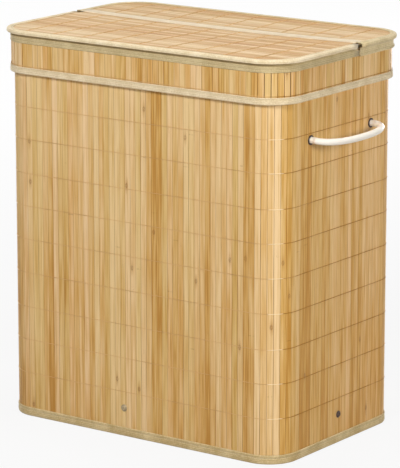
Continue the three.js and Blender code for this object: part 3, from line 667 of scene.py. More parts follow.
def stitch_ring(name, offset, heights, count, seed):
    half_face = (SLAT_PITCH - SLAT_SEAM) / 2
    rows = strands_object("stitches", [strand(stitch_path(half_face, z), THREAD_RADIUS) for z in heights])
    return stitch_row(name, rows, path_object("stitch_path", offset), count, seed, nylon_thread)


wall_stitches = stitch_ring("wall_stitches", 0, [z * MM for z in STITCH_ROWS], wall_count, WALL_SEED)
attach(wall_stitches, "basket")


# The cloth behind each mat: a thin cream cotton, glued and stitched to the slats' backs. It shows inside the
# basket below the board, and inside the lid's skirt.
WEAVE_PITCH = 1.2 * MM
PAINTED_SEAM_TOP, PAINTED_SEAM_END = 0.592, 0.598


def weave_height(tree, across, along):
    """Threads over and under each other, from two distances in metres: 1 at the top of a thread"""
    turns = 2 * math.pi / WEAVE_PITCH
    waves = [math_chain(tree, distance, ("MULTIPLY", turns), ("SINE",)) for distance in (across, along)]
    return math_chain(tree, waves[0], ("MULTIPLY", waves[1]))


def patches(tree, size, detail):
    """Soft noise over the object, in patches of about a size"""
    inputs = {"Vector": add(tree, "ShaderNodeTexCoord")["Object"], "Scale": 1 / size, "Detail": detail}
    return add(tree, "ShaderNodeTexNoise", inputs=inputs)["Fac"]


def refinish(node, material):
    for material_slot in frame["nodes"][node].material_slots:
        material_slot.material = material


# Thin plain-woven cotton: matt, cream, a little fluffy, with an uneven dye that drifts over a few
# centimetres. Its outer face, below a height near the rim, is drawn brown: painted shade for the seams
# between the slats, where it shows.
lining_cotton, tree = new_material("cotton_lining_plain_woven")
place, face_way = (add(tree, "ShaderNodeTexCoord")[label] for label in ("Object", "Normal"))
parts = add(tree, "ShaderNodeSeparateXYZ", place)
sideways = math_chain(tree, parts["X"], ("ADD", parts["Y"]))
upwards = math_chain(tree, add(tree, "ShaderNodeSeparateXYZ", face_way)["Z"], ("MULTIPLY", parts["Z"]))
outwards = add(tree, "ShaderNodeVectorMath", place, face_way, operation="DOT_PRODUCT")["Value"]
outer = math_chain(tree, outwards, ("SUBTRACT", upwards), ("RANGE", 0.05, 0.1, 0.0, 1.0))
# Painted shade: brown on the outer face, which is seen only through the seams
painted_seam_shade = math_chain(tree, parts["Z"], ("RANGE", PAINTED_SEAM_TOP, PAINTED_SEAM_END, 1.0, 0.0), ("MULTIPLY", outer))
colour = layered(tree, "D8C8A6", (patches(tree, 30 * MM, 3.0), "E3D5B8"), (painted_seam_shade, "A46C2C"))
weave = weave_height(tree, sideways, parts["Z"])
end_material(tree, colour, 0.9, (weave, 0.4, 0.12 * MM), Sheen_Weight=0.15)
refinish("wall_backing", lining_cotton)
refinish("skirt_backing", lining_cotton)


# The base tape: a cotton bias tape folded round the lower edge, turned in and stitched through all the
# layers. It rolls outwards a little over the slats' ends, and its inner leg lies on the lining.
TAPE_CLOTH = 0.55 * MM
TAPE_WAVER = 0.22 * MM
TAPE_WAVER_LENGTH = 28 * MM
BASE_TAPE_LINE = [
    (-3.7, 14.2), (-3.7, 8), (-3.6, 1.2), (-3.0, 0.4), (-1.5, 0.3), (0.2, 0.45), (1.05, 1.2),
    (1.4, 2.8), (1.5, 6.0), (1.25, 8.4), (0.95, 9.7), (1.4, 10.9), (1.6, 12.2), (1.2, 13.6), (0.4, 14.2),
]
BASE_STITCHES = (1.35, 9.7)
TAPE_STITCH_PITCH = 3.4 * MM
TAPE_STITCH_LENGTH = 2.7 * MM
TAPE_STITCH_RADIUS = 0.27 * MM
TAPE_STITCH_SEED = 3


def smooth_line(points, pieces=3):
    """A curve through given points, with a few pieces between each point and the next"""
    result = []
    for i in range(len(points) - 1):
        before = points[max(i - 1, 0)]
        after = points[min(i + 2, len(points) - 1)]
        a, b = points[i], points[i + 1]
        way_a, way_b = (b - before) / 2, (after - a) / 2
        for piece in range(pieces):
            t = piece / pieces
            result.append(
                a * (2 * t**3 - 3 * t**2 + 1)
                + way_a * (t**3 - 2 * t**2 + t)
                + b * (3 * t**2 - 2 * t**3)
                + way_b * (t**3 - t**2)
            )
    return result + [points[-1]]


def cloth_section(line, thickness=TAPE_CLOTH):
    """The outline of a cloth whose middle follows a line of (offset, height) points in millimetres"""
    line = smooth_line([Vector(p) * MM for p in line])
    one_side, other_side = [], []
    for i, point in enumerate(line):
        way = (line[min(i + 1, len(line) - 1)] - line[max(i - 1, 0)]).normalized()
        side = Vector((-way.y, way.x)) * thickness / 2
        one_side.append(point + side)
        other_side.append(point - side)
    return one_side + other_side[::-1]


def running_lengths(places):
    """How far along each place is from the first, and last the whole way round"""
    lengths = [0.0]
    for i, place in enumerate(places):
        lengths.append(lengths[-1] + (places[(i + 1) % len(places)] - place).length)
    return lengths


def add_cloth_map(obj, places):
    """Adds the "cloth" map in metres, from a place for each corner of each face"""
    cloth_map = obj.data.uv_layers.new(name="cloth")
    cloth_map.data.foreach_set("uv", [value for place in places for value in place])


def swept(name, section, stations, closed, waver=0.0):
    """Carries a section along stations. Its "cloth" map is in metres along the path and round the section."""
    count = len(section)
    corners = []
    for place, out in stations:
        for offset, height in section:
            spot = Vector((place.x, place.y, height))
            moved = offset + waver * noise.noise(spot / TAPE_WAVER_LENGTH)
            corners.append((place.x + out.x * moved, place.y + out.y * moved, height))
    run = running_lengths([place for place, out in stations])
    girth = running_lengths(section)
    places = []
    for span in range(len(stations) if closed else len(stations) - 1):
        near, far = run[span], run[span + 1]
        for i in range(count):
            places += [(near, girth[i]), (near, girth[i + 1]), (far, girth[i + 1]), (far, girth[i])]
    if not closed:
        places += [(0.0, 0.0)] * (2 * count)
    obj = mesh_object(name, corners, ring_faces(len(stations), count, closed))
    add_cloth_map(obj, places)
    return face_out(obj)


# Cream cotton bias tape: matt, with a fine weave that runs slantwise, faint ribs along it where it was
# folded and pressed, drawn as light and dark stripes in its colour: painted shade. It has a thread-by-thread
# unevenness. The real threads are 0.3 mm apart and wouldn't show, so they are drawn four times as coarse.
RIB_PITCH = 2.7 * MM
RIB_SHADE = 0.13
FLUFF_WEIGHT = 0.8
TAPE_DRIFT_SIZE, TAPE_FLUFF_SIZE = 22 * MM, 2.2 * MM
TAPE_SPAN = 0.66, 1.14
TAPE_GLOSS, TAPE_SHEEN = 0.88, 0.2
TAPE_BUMP = 0.45, 0.12 * MM


def cotton_tape(name, light, dark):
    material, tree = new_material(name)
    parts = add(tree, "ShaderNodeSeparateXYZ", add(tree, "ShaderNodeUVMap", uv_map="cloth")[0])
    slants = (math_chain(tree, parts["X"], (operation, parts["Y"])) for operation in ("ADD", "SUBTRACT"))
    weave = weave_height(tree, *slants)
    drift, fluff = patches(tree, TAPE_DRIFT_SIZE, 4.0), patches(tree, TAPE_FLUFF_SIZE, 3.0)
    turns = 2 * math.pi / RIB_PITCH
    # Painted shade of the pressed folds, as stripes in the colour
    painted_rib_shade = math_chain(tree, parts["Y"], ("MULTIPLY", turns), ("SINE",), ("MULTIPLY", RIB_SHADE))
    level = math_chain(tree, fluff, ("MULTIPLY_ADD", FLUFF_WEIGHT, drift), ("ADD", painted_rib_shade))
    level = math_chain(tree, level, ("RANGE", *TAPE_SPAN, 0.0, 1.0))
    height = math_chain(tree, fluff, ("MULTIPLY_ADD", FLUFF_WEIGHT, weave))
    colour = layered(tree, dark, (level, light))
    end_material(tree, colour, TAPE_GLOSS, (height, *TAPE_BUMP), Sheen_Weight=TAPE_SHEEN)
    return material


base_tape_cotton = cotton_tape("cotton_bias_tape_beige", "E2CC9C", "BEA36D")
lid_tape_cotton = cotton_tape("cotton_bias_tape_cream", "F3E1BF", "D8C095")
# The skirt's top tape: a darker copy of the cream tape, painted shade from the lid's overhang
shaded_skirt_tape_cotton = cotton_tape("cotton_bias_tape_sand_shaded", "D8C598", "BAA476")
# The flap's edge tape: a lighter copy of the cream tape, a painted highlight along the lid's edge
lit_flap_tape_cotton = cotton_tape("cotton_bias_tape_lit_edge", "F7E6C5", "DFC89C")
# The rear panel's edge tape: a darker copy of the cream tape, painted shade on the lid's ends and back
shaded_rear_tape_cotton = cotton_tape("cotton_bias_tape_warm_shaded", "E6D3A8", "CBB586")
fold_tape_cotton = cotton_tape("cotton_tape_pale_cream", "F4E2C6", "EAD4B2")

# Spun polyester sewing thread: cream, slightly shiny, laid in a lockstitch.
sewing_thread, tree = new_material("polyester_sewing_thread_cream")
fuzz = add(tree, "ShaderNodeTexNoise", inputs={"Scale": 1 / (0.5 * MM), "Detail": 1.0})["Fac"]
end_material(tree, "D9CAA0", 0.5, (fuzz, 0.3, 0.05 * MM))

dive = TAPE_STITCH_RADIUS * 1.6
stitch_line = [(-0.5, dive), (-0.25, 0), (0.25, 0), (0.5, dive)]
tape_stitch_path = [Vector((TAPE_STITCH_LENGTH * share, deep, 0)) for share, deep in stitch_line]


def sewn(name, place, body, stations=ROUND_BASKET, closed=True, from_height=0):
    """A row of short stitches along stations, whose place is its offset and height in millimetres"""
    offset, height = place[0] * MM, from_height + place[1] * MM
    stitch = strands_object("stitch", [strand(tape_stitch_path, TAPE_STITCH_RADIUS)])
    length = running_lengths([spot for spot, out in stations])[-1 if closed else -2]
    path = path_object("sewing_path", offset, height, stations, closed)
    row = stitch_row(name, stitch, path, round(length / TAPE_STITCH_PITCH), TAPE_STITCH_SEED, sewing_thread)
    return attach(row, body)


def tape_ring(node, line, from_height, cotton, body, stations=ROUND_BASKET, closed=True, name="cloth"):
    """A tape that replaces its node, from a line whose heights run from the height given"""
    section = cloth_section([(offset, from_height / MM + height) for offset, height in line])
    ring = swept(f"{node}_{name}", section, stations, closed, TAPE_WAVER)
    finish_with(ring, cotton)
    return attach(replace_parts(ring, node), body)


tape_ring("base_tape", BASE_TAPE_LINE, 0, base_tape_cotton, "basket")
sewn("base_tape_stitches", BASE_STITCHES, "basket")


# The rim: the same cotton tape round the top edge of the mat, with a steel wire rolled into it to keep the
# mouth in shape. The lid's skirt hides it until the lid is off.
RIM_TAPE_LINE = [
    (0.6, -11.8), (0.62, -6), (0.6, -2.2), (0.2, -0.6), (-1.2, -0.3), (-2.6, -0.45), (-3.5, -1.6),
    (-3.75, -5), (-3.75, -11.8),
]
RIM_STITCHES = (0.9, -9.6)
WIRE_SIDES = 12

rim_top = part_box("rim_tape")[1].z
tape_ring("rim_tape", RIM_TAPE_LINE, rim_top, lid_tape_cotton, "basket")
sewn("rim_tape_stitches", RIM_STITCHES, "basket", from_height=rim_top)


def patterned(name, pattern, dark, light, gloss, bump=None, **more):
    """A material whose colour follows a pattern from dark to light. So does its gloss, if that is a range.
    The bump is its strength and distance."""
    material, tree = new_material(name)
    level = pattern(tree)
    if isinstance(gloss, tuple):
        gloss = math_chain(tree, level, ("RANGE", *NOISE_SPAN, *gloss))
    end_material(tree, layered(tree, dark, (level, light)), gloss, bump and (level, *bump), **more)
    return material


# Drawn zinc-plated steel: pale grey with a faint blue-white bloom, brushed along by the drawing.
zinc_steel = patterned(
    "steel_zinc_plated", lambda tree: patches(tree, 3 * MM, 3.0),
    "8E8C88", "B9B8B4", (0.25, 0.42), (0.2, 0.05 * MM), Metallic=1.0,
)


def round_wire(node, body):
    """A smooth round wire in place of the node's faceted one, round the basket"""
    low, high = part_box(node)
    radius = (high.z - low.z) / 2
    centre = Vector((high.x - HALF_WIDTH - radius, low.z + radius))
    section = circle(centre, Vector((1, 0)), Vector((0, 1)), radius, WIRE_SIDES)
    wire = swept(node + "_drawn", section, ROUND_BASKET, True)
    finish_with(wire, zinc_steel)
    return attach(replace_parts(wire, node), body)


round_wire("rim_wire", "basket")


# The base board: plain fibreboard, sawn to the basket's outline. Its four wood screws come through the mat
# from outside, each in a turned cup washer.
HEAD_RINGS = 12
HEAD_STEPS = 40
HEAD_RADIUS = 4 * MM
HEAD_DOME = 1.7 * MM
HEAD_ROUNDNESS = 2.4
CROSS_WIDTH = 1.1 * MM
CROSS_REACH = 2.6 * MM
CROSS_DEPTH = 1.1 * MM
CROSS_EDGE = 0.25 * MM
CROSS_TAPER = 1.4 * MM
WASHER_SEAT = 1.5 * MM
WASHER_LINE = [
    (2.4, 0.3), (5.3, 0.3), (5.6, 0.45), (5.6, 0.8), (5.35, 1.05), (4.6, 1.45), (4.3, 1.5), (4.1, 1.2),
    (2.4, 1.2),
]
SHANK_LINE = [(0, -26), (0.7, -23.6), (2, -21), (2, 1.6), (0, 1.6)]
WALLS_OUT = dict(front=(0, -1, 0), right=(1, 0, 0), rear=(0, 1, 0), left=(-1, 0, 0))

# Fibreboard: pressed wood fibre, matt brown, with short darker flecks.
fibreboard = patterned(
    "fibreboard_pressed", lambda tree: patches(tree, 2.2 * MM, 4.0), "9C7B4B", "C4A777", 0.82, (0.3, 0.2 * MM)
)
refinish("base_board", fibreboard)

# Burnished bronze finish on turned brass: nearly black brown, satin, a little lighter where hands rub it.
dark_bronze = patterned(
    "brass_burnished_dark_bronze", lambda tree: patches(tree, 2.5 * MM, 3.0),
    "3F322E", "6E5E57", (0.24, 0.4), Metallic=1.0,
)

# Antique nickel plate on steel: warm olive grey, satin, with the brown of its toning in the hollows.
toned_nickel = patterned(
    "steel_nickel_plated_toned", lambda tree: patches(tree, 2 * MM, 3.0),
    "8C7C5E", "BFAF90", (0.42, 0.56), Metallic=1.0,
)


def metres(line):
    """A line of given points, from millimetres to metres"""
    return [tuple(value * MM for value in point) for point in line]


def lathe(name, profile, place, out, steps=32):
    """Turns a profile of (radius, distance out) corners about the axis that leaves a place outwards"""
    turn = Vector(out).to_track_quat("Z", "Y").to_matrix()
    on_axis = profile[0][0] == 0 and profile[-1][0] == 0
    corners = []
    for step in range(steps):
        angle = 2 * math.pi * step / steps
        for radius, along in profile:
            corners.append(place + turn @ Vector((radius * math.cos(angle), radius * math.sin(angle), along)))
    faces = ring_faces(steps, len(profile), closed=True, across=len(profile) - 1 if on_axis else None)
    return face_out(mesh_object(name, corners, faces))


def soften(obj, angle=38):
    """Smooth shading, with a crisp line where two faces meet at more than the angle"""
    obj.data.set_sharp_from_angle(angle=math.radians(angle))
    return obj


def cross_recess(x, y):
    """How deep the driver's cross is cut at a place on a screw's head"""
    depth = 0.0
    for along, across in ((abs(x), abs(y)), (abs(y), abs(x))):
        side = min(max((CROSS_WIDTH / 2 - across) / CROSS_EDGE + 0.5, 0), 1)
        end = min(max((CROSS_REACH - along) / CROSS_TAPER, 0), 1)
        depth = max(depth, side * end)
    return depth * CROSS_DEPTH


def screw_head(name, place, out):
    turn = Vector(out).to_track_quat("Z", "Y").to_matrix()
    corners = [place + turn @ Vector((0, 0, WASHER_SEAT + HEAD_DOME - cross_recess(0, 0)))]
    for ring in range(1, HEAD_RINGS + 1):
        share = ring / HEAD_RINGS
        for step in range(HEAD_STEPS):
            angle = 2 * math.pi * step / HEAD_STEPS
            x, y = HEAD_RADIUS * share * math.cos(angle), HEAD_RADIUS * share * math.sin(angle)
            dome = HEAD_DOME * math.sqrt(max(1 - share**HEAD_ROUNDNESS, 0))
            corners.append(place + turn @ Vector((x, y, WASHER_SEAT + dome - cross_recess(x, y))))
    under = len(corners)
    corners.append(place + turn @ Vector((0, 0, WASHER_SEAT)))
    faces = []
    for step in range(HEAD_STEPS):
        ahead = (step + 1) % HEAD_STEPS
        faces.append((0, 1 + step, 1 + ahead))
        for ring in range(HEAD_RINGS - 1):
            here = 1 + ring * HEAD_STEPS
            faces.append((here + step, here + HEAD_STEPS + step, here + HEAD_STEPS + ahead, here + ahead))
        last = 1 + (HEAD_RINGS - 1) * HEAD_STEPS
        faces.append((last + step, under, last + ahead))
    return face_out(mesh_object(name, corners, faces))


def foot_on_wall(node, out):
    """The place on the basket's face that a node's axis goes through"""
    low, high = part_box(node)
    centre = (low + high) / 2
    if out[0]:
        return Vector((out[0] * HALF_WIDTH, centre.y, centre.z))
    return Vector((centre.x, out[1] * HALF_DEPTH, centre.z))


for wall, out in WALLS_OUT.items():
    foot = foot_on_wall("screw_washer_" + wall, out)
    hardware = dark_bronze if out[0] else toned_nickel
    washer = lathe("cup_washer_" + wall, metres(WASHER_LINE), foot, out)
    soften(finish_with(washer, hardware), 50)
    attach(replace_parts(washer, "screw_washer_" + wall), "basket")
    head = screw_head("wood_screw_head_" + wall, foot, out)
    soften(finish_with(head, hardware), 50)
    shank = lathe("wood_screw_shank_" + wall, metres(SHANK_LINE), foot, out, 16)
    finish_with(shank, zinc_steel)
    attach(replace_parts(head, "base_screw_" + wall), "basket")
    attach(shank, "basket")


# The divider bar between the two bins: a turned hardwood dowel, with its ends in two cups on the long walls.
# The cups are turned brass with the eyelets' dark finish.
BAR_GRAIN = 1.1 * MM
BAR_GRAIN_LENGTH = 22 * BAR_GRAIN
BAR_CHAMFER = 0.8 * MM
CUP_LINE = [
    (0, 0), (7.4, 0), (8, 0.6), (8, 7.9), (7.7, 8.7), (7, 9), (5.9, 9), (5.4, 8.6), (5.3, 8), (5.3, 2),
    (0, 2),
]
bar_low, bar_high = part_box("divider_bar")
bar_radius = (bar_high.x - bar_low.x) / 2
bar_middle = (bar_low + bar_high) / 2
bar_half = (bar_high.y - bar_low.y) / 2


def along_the_dowel(tree):
    return streaks(tree, add(tree, "ShaderNodeTexCoord")["Object"], 1, BAR_GRAIN, BAR_GRAIN_LENGTH, 4.0)


# Turned beech: pale pinkish brown, bare and matt, with short dark flecks along the grain.
turned_beech = patterned("beech_turned_bare", along_the_dowel, "B98A5C", "DDB88B", 0.55, (0.25, 0.1 * MM))

bar_line = [
    (0, -bar_half), (bar_radius - BAR_CHAMFER, -bar_half), (bar_radius, -bar_half + BAR_CHAMFER),
    (bar_radius, bar_half - BAR_CHAMFER), (bar_radius - BAR_CHAMFER, bar_half), (0, bar_half),
]
bar = lathe("divider_dowel", bar_line, bar_middle, (0, 1, 0))
soften(finish_with(bar, turned_beech))
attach(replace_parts(bar, "divider_bar"), "basket")

for end, way in (("front", 1), ("rear", -1)):
    cup_low, cup_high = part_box("bar_cup_" + end)
    back = Vector((bar_middle.x, cup_low.y if way > 0 else cup_high.y, bar_middle.z))
    cup = lathe("bar_cup_turned_" + end, metres(CUP_LINE), back, (0, way, 0))
    soften(finish_with(cup, dark_bronze))
    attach(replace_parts(cup, "bar_cup_" + end), "basket")


# The two cloth bags: open sacks of cream polycotton, with a turned hem that sticks to hook tape inside the
# rim. The cloth hangs slack between the hem and the board, in soft folds that run down it.
BAG_CLOTH = 1.1 * MM
BAG_FOLD_DEPTH = 9 * MM
BAG_FOLD_WIDTH = 42 * MM
BAG_FOLD_LENGTH = 380 * MM
BAG_CREASE = 75 * MM
BAG_SLACK_ROUNDNESS = 0.6
BROAD_FOLDS, SMALL_FOLDS = (1.1, 0.55), (2.7, 0.3)
CREASE_STRETCH, CREASE_SHARPNESS, CREASE_SHARE = 0.45, 3.2, 0.16
BAG_LEVELS = 48
BAG_FLOOR_RINGS = 8
BAG_FLOOR_PUCKER = 1.6 * MM
BAG_FLOOR_PUCKER_WIDTH = 45 * MM
BAG_CORNER_STEPS = 8
BAG_SIDE_PIECES = 34
BAG_NEAR, BAG_FAR, BAG_HALF_DEPTH = 8.3 * MM, 234.7 * MM, 152.7 * MM
BAG_RADIUS, HEM_SPREAD = 35.7, 7.5
BAG_WAIST = 515 * MM
HEM_NEAR, HEM_BOTTOM, HEM_RADIUS = 5.6 * MM, 564.5 * MM, 43.2 * MM
HEM_DROP = 0.3 * MM
HEM_LINE = [(1.4, -1.6), (1.5, -8), (1.5, -20), (1.45, -24)]
HEM_CLOTH, HEM_WAVER = 0.7 * MM, 0.15 * MM
HEM_STITCHES, HEM_EDGE_STITCHES = (2.0, -21.5), (1.95, -4)
LOOP_SIZE = 0.9 * MM


def loops(tree):
    inputs = {"Vector": add(tree, "ShaderNodeTexCoord")["Object"], "Scale": 1 / LOOP_SIZE}
    return add(tree, "ShaderNodeTexVoronoi", inputs=inputs)["Distance"]


# Hook-and-loop tape: cream, with the loops' fine fuzz.
hook_and_loop = patterned(
    "nylon_hook_and_loop_tape", loops, "CFC7B2", "EDE7D8", 0.9, (0.6, 0.3 * MM), Sheen_Weight=0.3
)
refinish("hook_tape_left", hook_and_loop)
refinish("hook_tape_right", hook_and_loop)

# Plain-woven polycotton: off-white, matt, with a visible square weave and slightly slubby threads.
polycotton, tree = new_material("polycotton_plain_woven")
flat = add(tree, "ShaderNodeUVMap", uv_map="cloth")[0]
parts = add(tree, "ShaderNodeSeparateXYZ", flat)
slub = streaks(tree, flat, 1, 2 * MM, 24 * MM, 2.0)
height = math_chain(tree, slub, ("MULTIPLY_ADD", 0.6, weave_height(tree, parts["X"], parts["Y"])))
colour = layered(tree, "DED4BE", (slub, "EFE8D9"))
end_material(tree, colour, 0.92, (height, 0.5, 0.15 * MM), Sheen_Weight=0.25)


def bag_ring(low, high, radius):
    """Stations round a rounded box in plan, with enough along its sides for the cloth's folds"""
    corners = [rounded_corner(low, high, radius, corner, BAG_CORNER_STEPS) for corner in range(4)]
    stations = sum(corners, [])
    result = []
    for i, (place, out) in enumerate(stations):
        ahead, ahead_out = stations[(i + 1) % len(stations)]
        pieces = BAG_SIDE_PIECES if i % (BAG_CORNER_STEPS + 1) == BAG_CORNER_STEPS else 1
        for share in (k / pieces for k in range(pieces)):
            result.append((place.lerp(ahead, share), out.lerp(ahead_out, share).normalized()))
    return result


def folded_in(spot, share):
    """How far the slack cloth falls inwards at a spot, from none at the hem and the floor"""
    slack = math.sin(math.pi * min(max(share, 0), 1)) ** BAG_SLACK_ROUNDNESS
    sample = Vector((spot.x / BAG_FOLD_WIDTH, spot.y / BAG_FOLD_WIDTH, spot.z / BAG_FOLD_LENGTH))
    wave = 0.5
    for fineness, weight in (BROAD_FOLDS, SMALL_FOLDS):
        wave += weight * noise.noise(sample * fineness)
    stretched = Vector((spot.x, spot.y, spot.z * CREASE_STRETCH))
    crease = 1 - abs(noise.noise(stretched / BAG_CREASE)) * CREASE_SHARPNESS
    return BAG_FOLD_DEPTH * slack * (max(wave, 0) + CREASE_SHARE * max(crease, 0))


def face_out_open(obj):
    """Turns the faces of an open sack outwards: its floor faces down"""
    shell = bmesh.new()
    shell.from_mesh(obj.data)
    bmesh.ops.recalc_face_normals(shell, faces=shell.faces)
    floor_face = min(shell.faces, key=lambda face: face.calc_center_median().z)
    if floor_face.normal.z > 0:
        bmesh.ops.reverse_faces(shell, faces=shell.faces)
    shell.to_mesh(obj.data)
    shell.free()


def thickened(obj, thickness):
    """Gives a cloth its thickness inwards"""
    solidify = obj.modifiers.new("cloth", "SOLIDIFY")
    solidify.thickness = thickness
    solidify.offset = -1
    evaluated = obj.evaluated_get(bpy.context.evaluated_depsgraph_get())
    mesh = bpy.data.meshes.new_from_object(evaluated)
    obj.modifiers.clear()
    flat_mesh, obj.data = obj.data, mesh
    bpy.data.meshes.remove(flat_mesh)
    return obj


def cloth_bag(side, node):
    low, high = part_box(node)
    near, far = HEM_NEAR * side, high.x if side > 0 else low.x
    hem_low, hem_high = Vector((min(near, far), low.y)), Vector((max(near, far), high.y))
    near, far = BAG_NEAR * side, BAG_FAR * side
    body_low = Vector((min(near, far), -BAG_HALF_DEPTH))
    body_high = Vector((max(near, far), BAG_HALF_DEPTH))
    floor, top = low.z + BAG_CLOTH, high.z - HEM_DROP
    levels = []
    for level in range(BAG_LEVELS + 1):
        share = level / BAG_LEVELS
        levels.append((floor + (BAG_WAIST - floor) * share, body_low, body_high, BAG_RADIUS * MM, share))
    for share in (0.5, 1.0):
        blend = share * share * (3 - 2 * share)
        height = BAG_WAIST + (HEM_BOTTOM - BAG_WAIST) * share
        radius = (BAG_RADIUS + HEM_SPREAD * blend) * MM
        levels.append((height, body_low.lerp(hem_low, blend), body_high.lerp(hem_high, blend), radius, 1.0))
    levels.append((top, hem_low, hem_high, HEM_RADIUS, 1.0))
    rings = []
    for height, ring_low, ring_high, radius, share in levels:
        ring = []
        for place, out in bag_ring(ring_low, ring_high, radius):
            spot = Vector((place.x, place.y, height))
            inwards = folded_in(spot, share) if share < 1 else 0.0
            ring.append(Vector((place.x - out.x * inwards, place.y - out.y * inwards, height)))
        rings.append(ring)
    count = len(rings[0])
    corners = [spot for ring in rings for spot in ring]
    faces = ring_faces(len(rings), count, capped=False)
    run = running_lengths(rings[0])
    places = []
    for lower, upper in zip(rings, rings[1:]):
        for i in range(count):
            near, far = lower[i].z, upper[i].z
            places += [(run[i], near), (run[i + 1], near), (run[i + 1], far), (run[i], far)]
    walls = len(faces)
    centre = sum(rings[0], Vector()) / count
    before = range(count)
    for ring in range(1, BAG_FLOOR_RINGS):
        share = 1 - ring / BAG_FLOOR_RINGS
        here = range(len(corners), len(corners) + count)
        for spot in rings[0]:
            moved = centre.lerp(spot, share)
            rise = BAG_FLOOR_PUCKER * max(noise.noise(moved / BAG_FLOOR_PUCKER_WIDTH), 0)
            corners.append(Vector((moved.x, moved.y, floor + rise * min(1, 3 * (1 - share)))))
        for i in range(count):
            j = (i + 1) % count
            faces.append((before[i], here[i], here[j], before[j]))
        before = here
    faces.append(tuple(before))
    for face in faces[walls:]:
        places += [(corners[i].x, corners[i].y) for i in face]
    bag = mesh_object(node + "_cloth", corners, faces)
    add_cloth_map(bag, places)
    face_out_open(bag)
    thickened(bag, BAG_CLOTH)
    finish_with(bag, polycotton)
    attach(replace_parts(bag, node), "basket")

    ring = [(place, -out) for place, out in bag_ring(hem_low, hem_high, HEM_RADIUS)]
    section = cloth_section([(offset, top / MM + height) for offset, height in HEM_LINE], HEM_CLOTH)
    hem = swept(node + "_hem", section, ring, True, HEM_WAVER)
    finish_with(hem, polycotton)
    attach(hem, "basket")
    sewn(node + "_hem_stitches", HEM_STITCHES, "basket", ring, from_height=top)
    sewn(node + "_edge_stitches", HEM_EDGE_STITCHES, "basket", ring, from_height=top)


cloth_bag(-1, "liner_bag_left")
cloth_bag(1, "liner_bag_right")


# Handles: two eyelets in each end wall, a cord that is knotted behind them, and the smooth white tube that
# covers the cord outside and stands out in a stiff arch.
TUBE_SIDES = 24
TUBE_STEPS = 56
TUBE_END_STEPS = 12
HANDLE_ROUNDNESS = 2.3
HANDLE_DROOP = math.radians(6)
HANDLE_REACH = 32.5 * MM
TUBE_RADIUS = 5 * MM
KNOT_CORD_RADIUS = 2.6 * MM
KNOT_CORD_SIDES = 8
CORD_LAY = 1.6 * MM
WAVE_AT_SCALE_ONE = 0.314
KNOT_TURNS = 3
KNOT_STEPS = 14 * KNOT_TURNS
KNOT_RADIUS = 5.9 * MM
KNOT_START, KNOT_LENGTH = 7.4, 12.6
EYELET_LINE = [
    (5.3, -4.2), (6.4, -4.25), (7.6, -4.1), (8.2, -3.8), (8.15, -3.5), (7.4, -3.4), (6.3, -3.3), (6.1, -2.8),
    (6.1, 0.2), (6.4, 0.4), (7.4, 0.35), (7.6, 0.55), (7.5, 1.0), (7.0, 1.5), (6.4, 1.7), (5.7, 1.6),
    (5.3, 1.2),
]
NECK_LINE = [(0, -5), (4.9, -5), (5, -4), (5, 7.5), (0, 7.5)]
KNOT_CORE_LINE = [(0, -22), (3.2, -22), (3.4, -20), (3.4, -4.6), (0, -4.6)]


def tube(name, path, radius, sides):
    """A tube along a path, with its frames carried on from step to step"""
    corners = []
    side = None
    for i, place in enumerate(path):
        forward = (path[min(i + 1, len(path) - 1)] - path[max(i - 1, 0)]).normalized()
        if side is None:
            side = forward.orthogonal()
        side = (side - forward * side.dot(forward)).normalized()
        corners += circle(place, side, forward.cross(side), radius, sides)
    return face_out(mesh_object(name, corners, ring_faces(len(path), sides)))


# Soft white PVC tube over the cord: smooth, satin, very slightly warm, with faint handling marks.
white_tube = patterned(
    "pvc_tube_soft_white", lambda tree: patches(tree, 9 * MM, 4.0),
    "F0E7D9", "F8F2E7", (0.34, 0.5), (0.12, 0.3 * MM),
    IOR=1.52, Subsurface_Weight=0.1, Subsurface_Radius=(0.004, 0.003, 0.002),
)


def cord_strands(tree):
    place = add(tree, "ShaderNodeTexCoord")["Object"]
    inputs = {"Vector": place, "Scale": WAVE_AT_SCALE_ONE / CORD_LAY, "Distortion": 1.5}
    return add(tree, "ShaderNodeTexWave", inputs=inputs)["Fac"]


# Twisted cotton cord: off-white, matt, with the slanting strands of its lay.
cotton_cord = patterned(
    "cotton_cord_twisted", cord_strands, "CFC5AE", "EDE7D8", 0.9, (0.7, 0.4 * MM), Sheen_Weight=0.2
)

pivots = {joint["child"]: Vector(joint["pos_m"]) for joint in frame["joints"] if "handle" in joint["name"]}
ball_angles = [math.pi * step / TUBE_END_STEPS for step in range(1, TUBE_END_STEPS)]
ball_line = [(TUBE_RADIUS * math.sin(angle), -TUBE_RADIUS * math.cos(angle)) for angle in ball_angles]
ball_line = [(0, -TUBE_RADIUS), *ball_line, (0, TUBE_RADIUS)]


def superellipse(share):
    return (1 - abs(share) ** HANDLE_ROUNDNESS) ** (1 / HANDLE_ROUNDNESS)


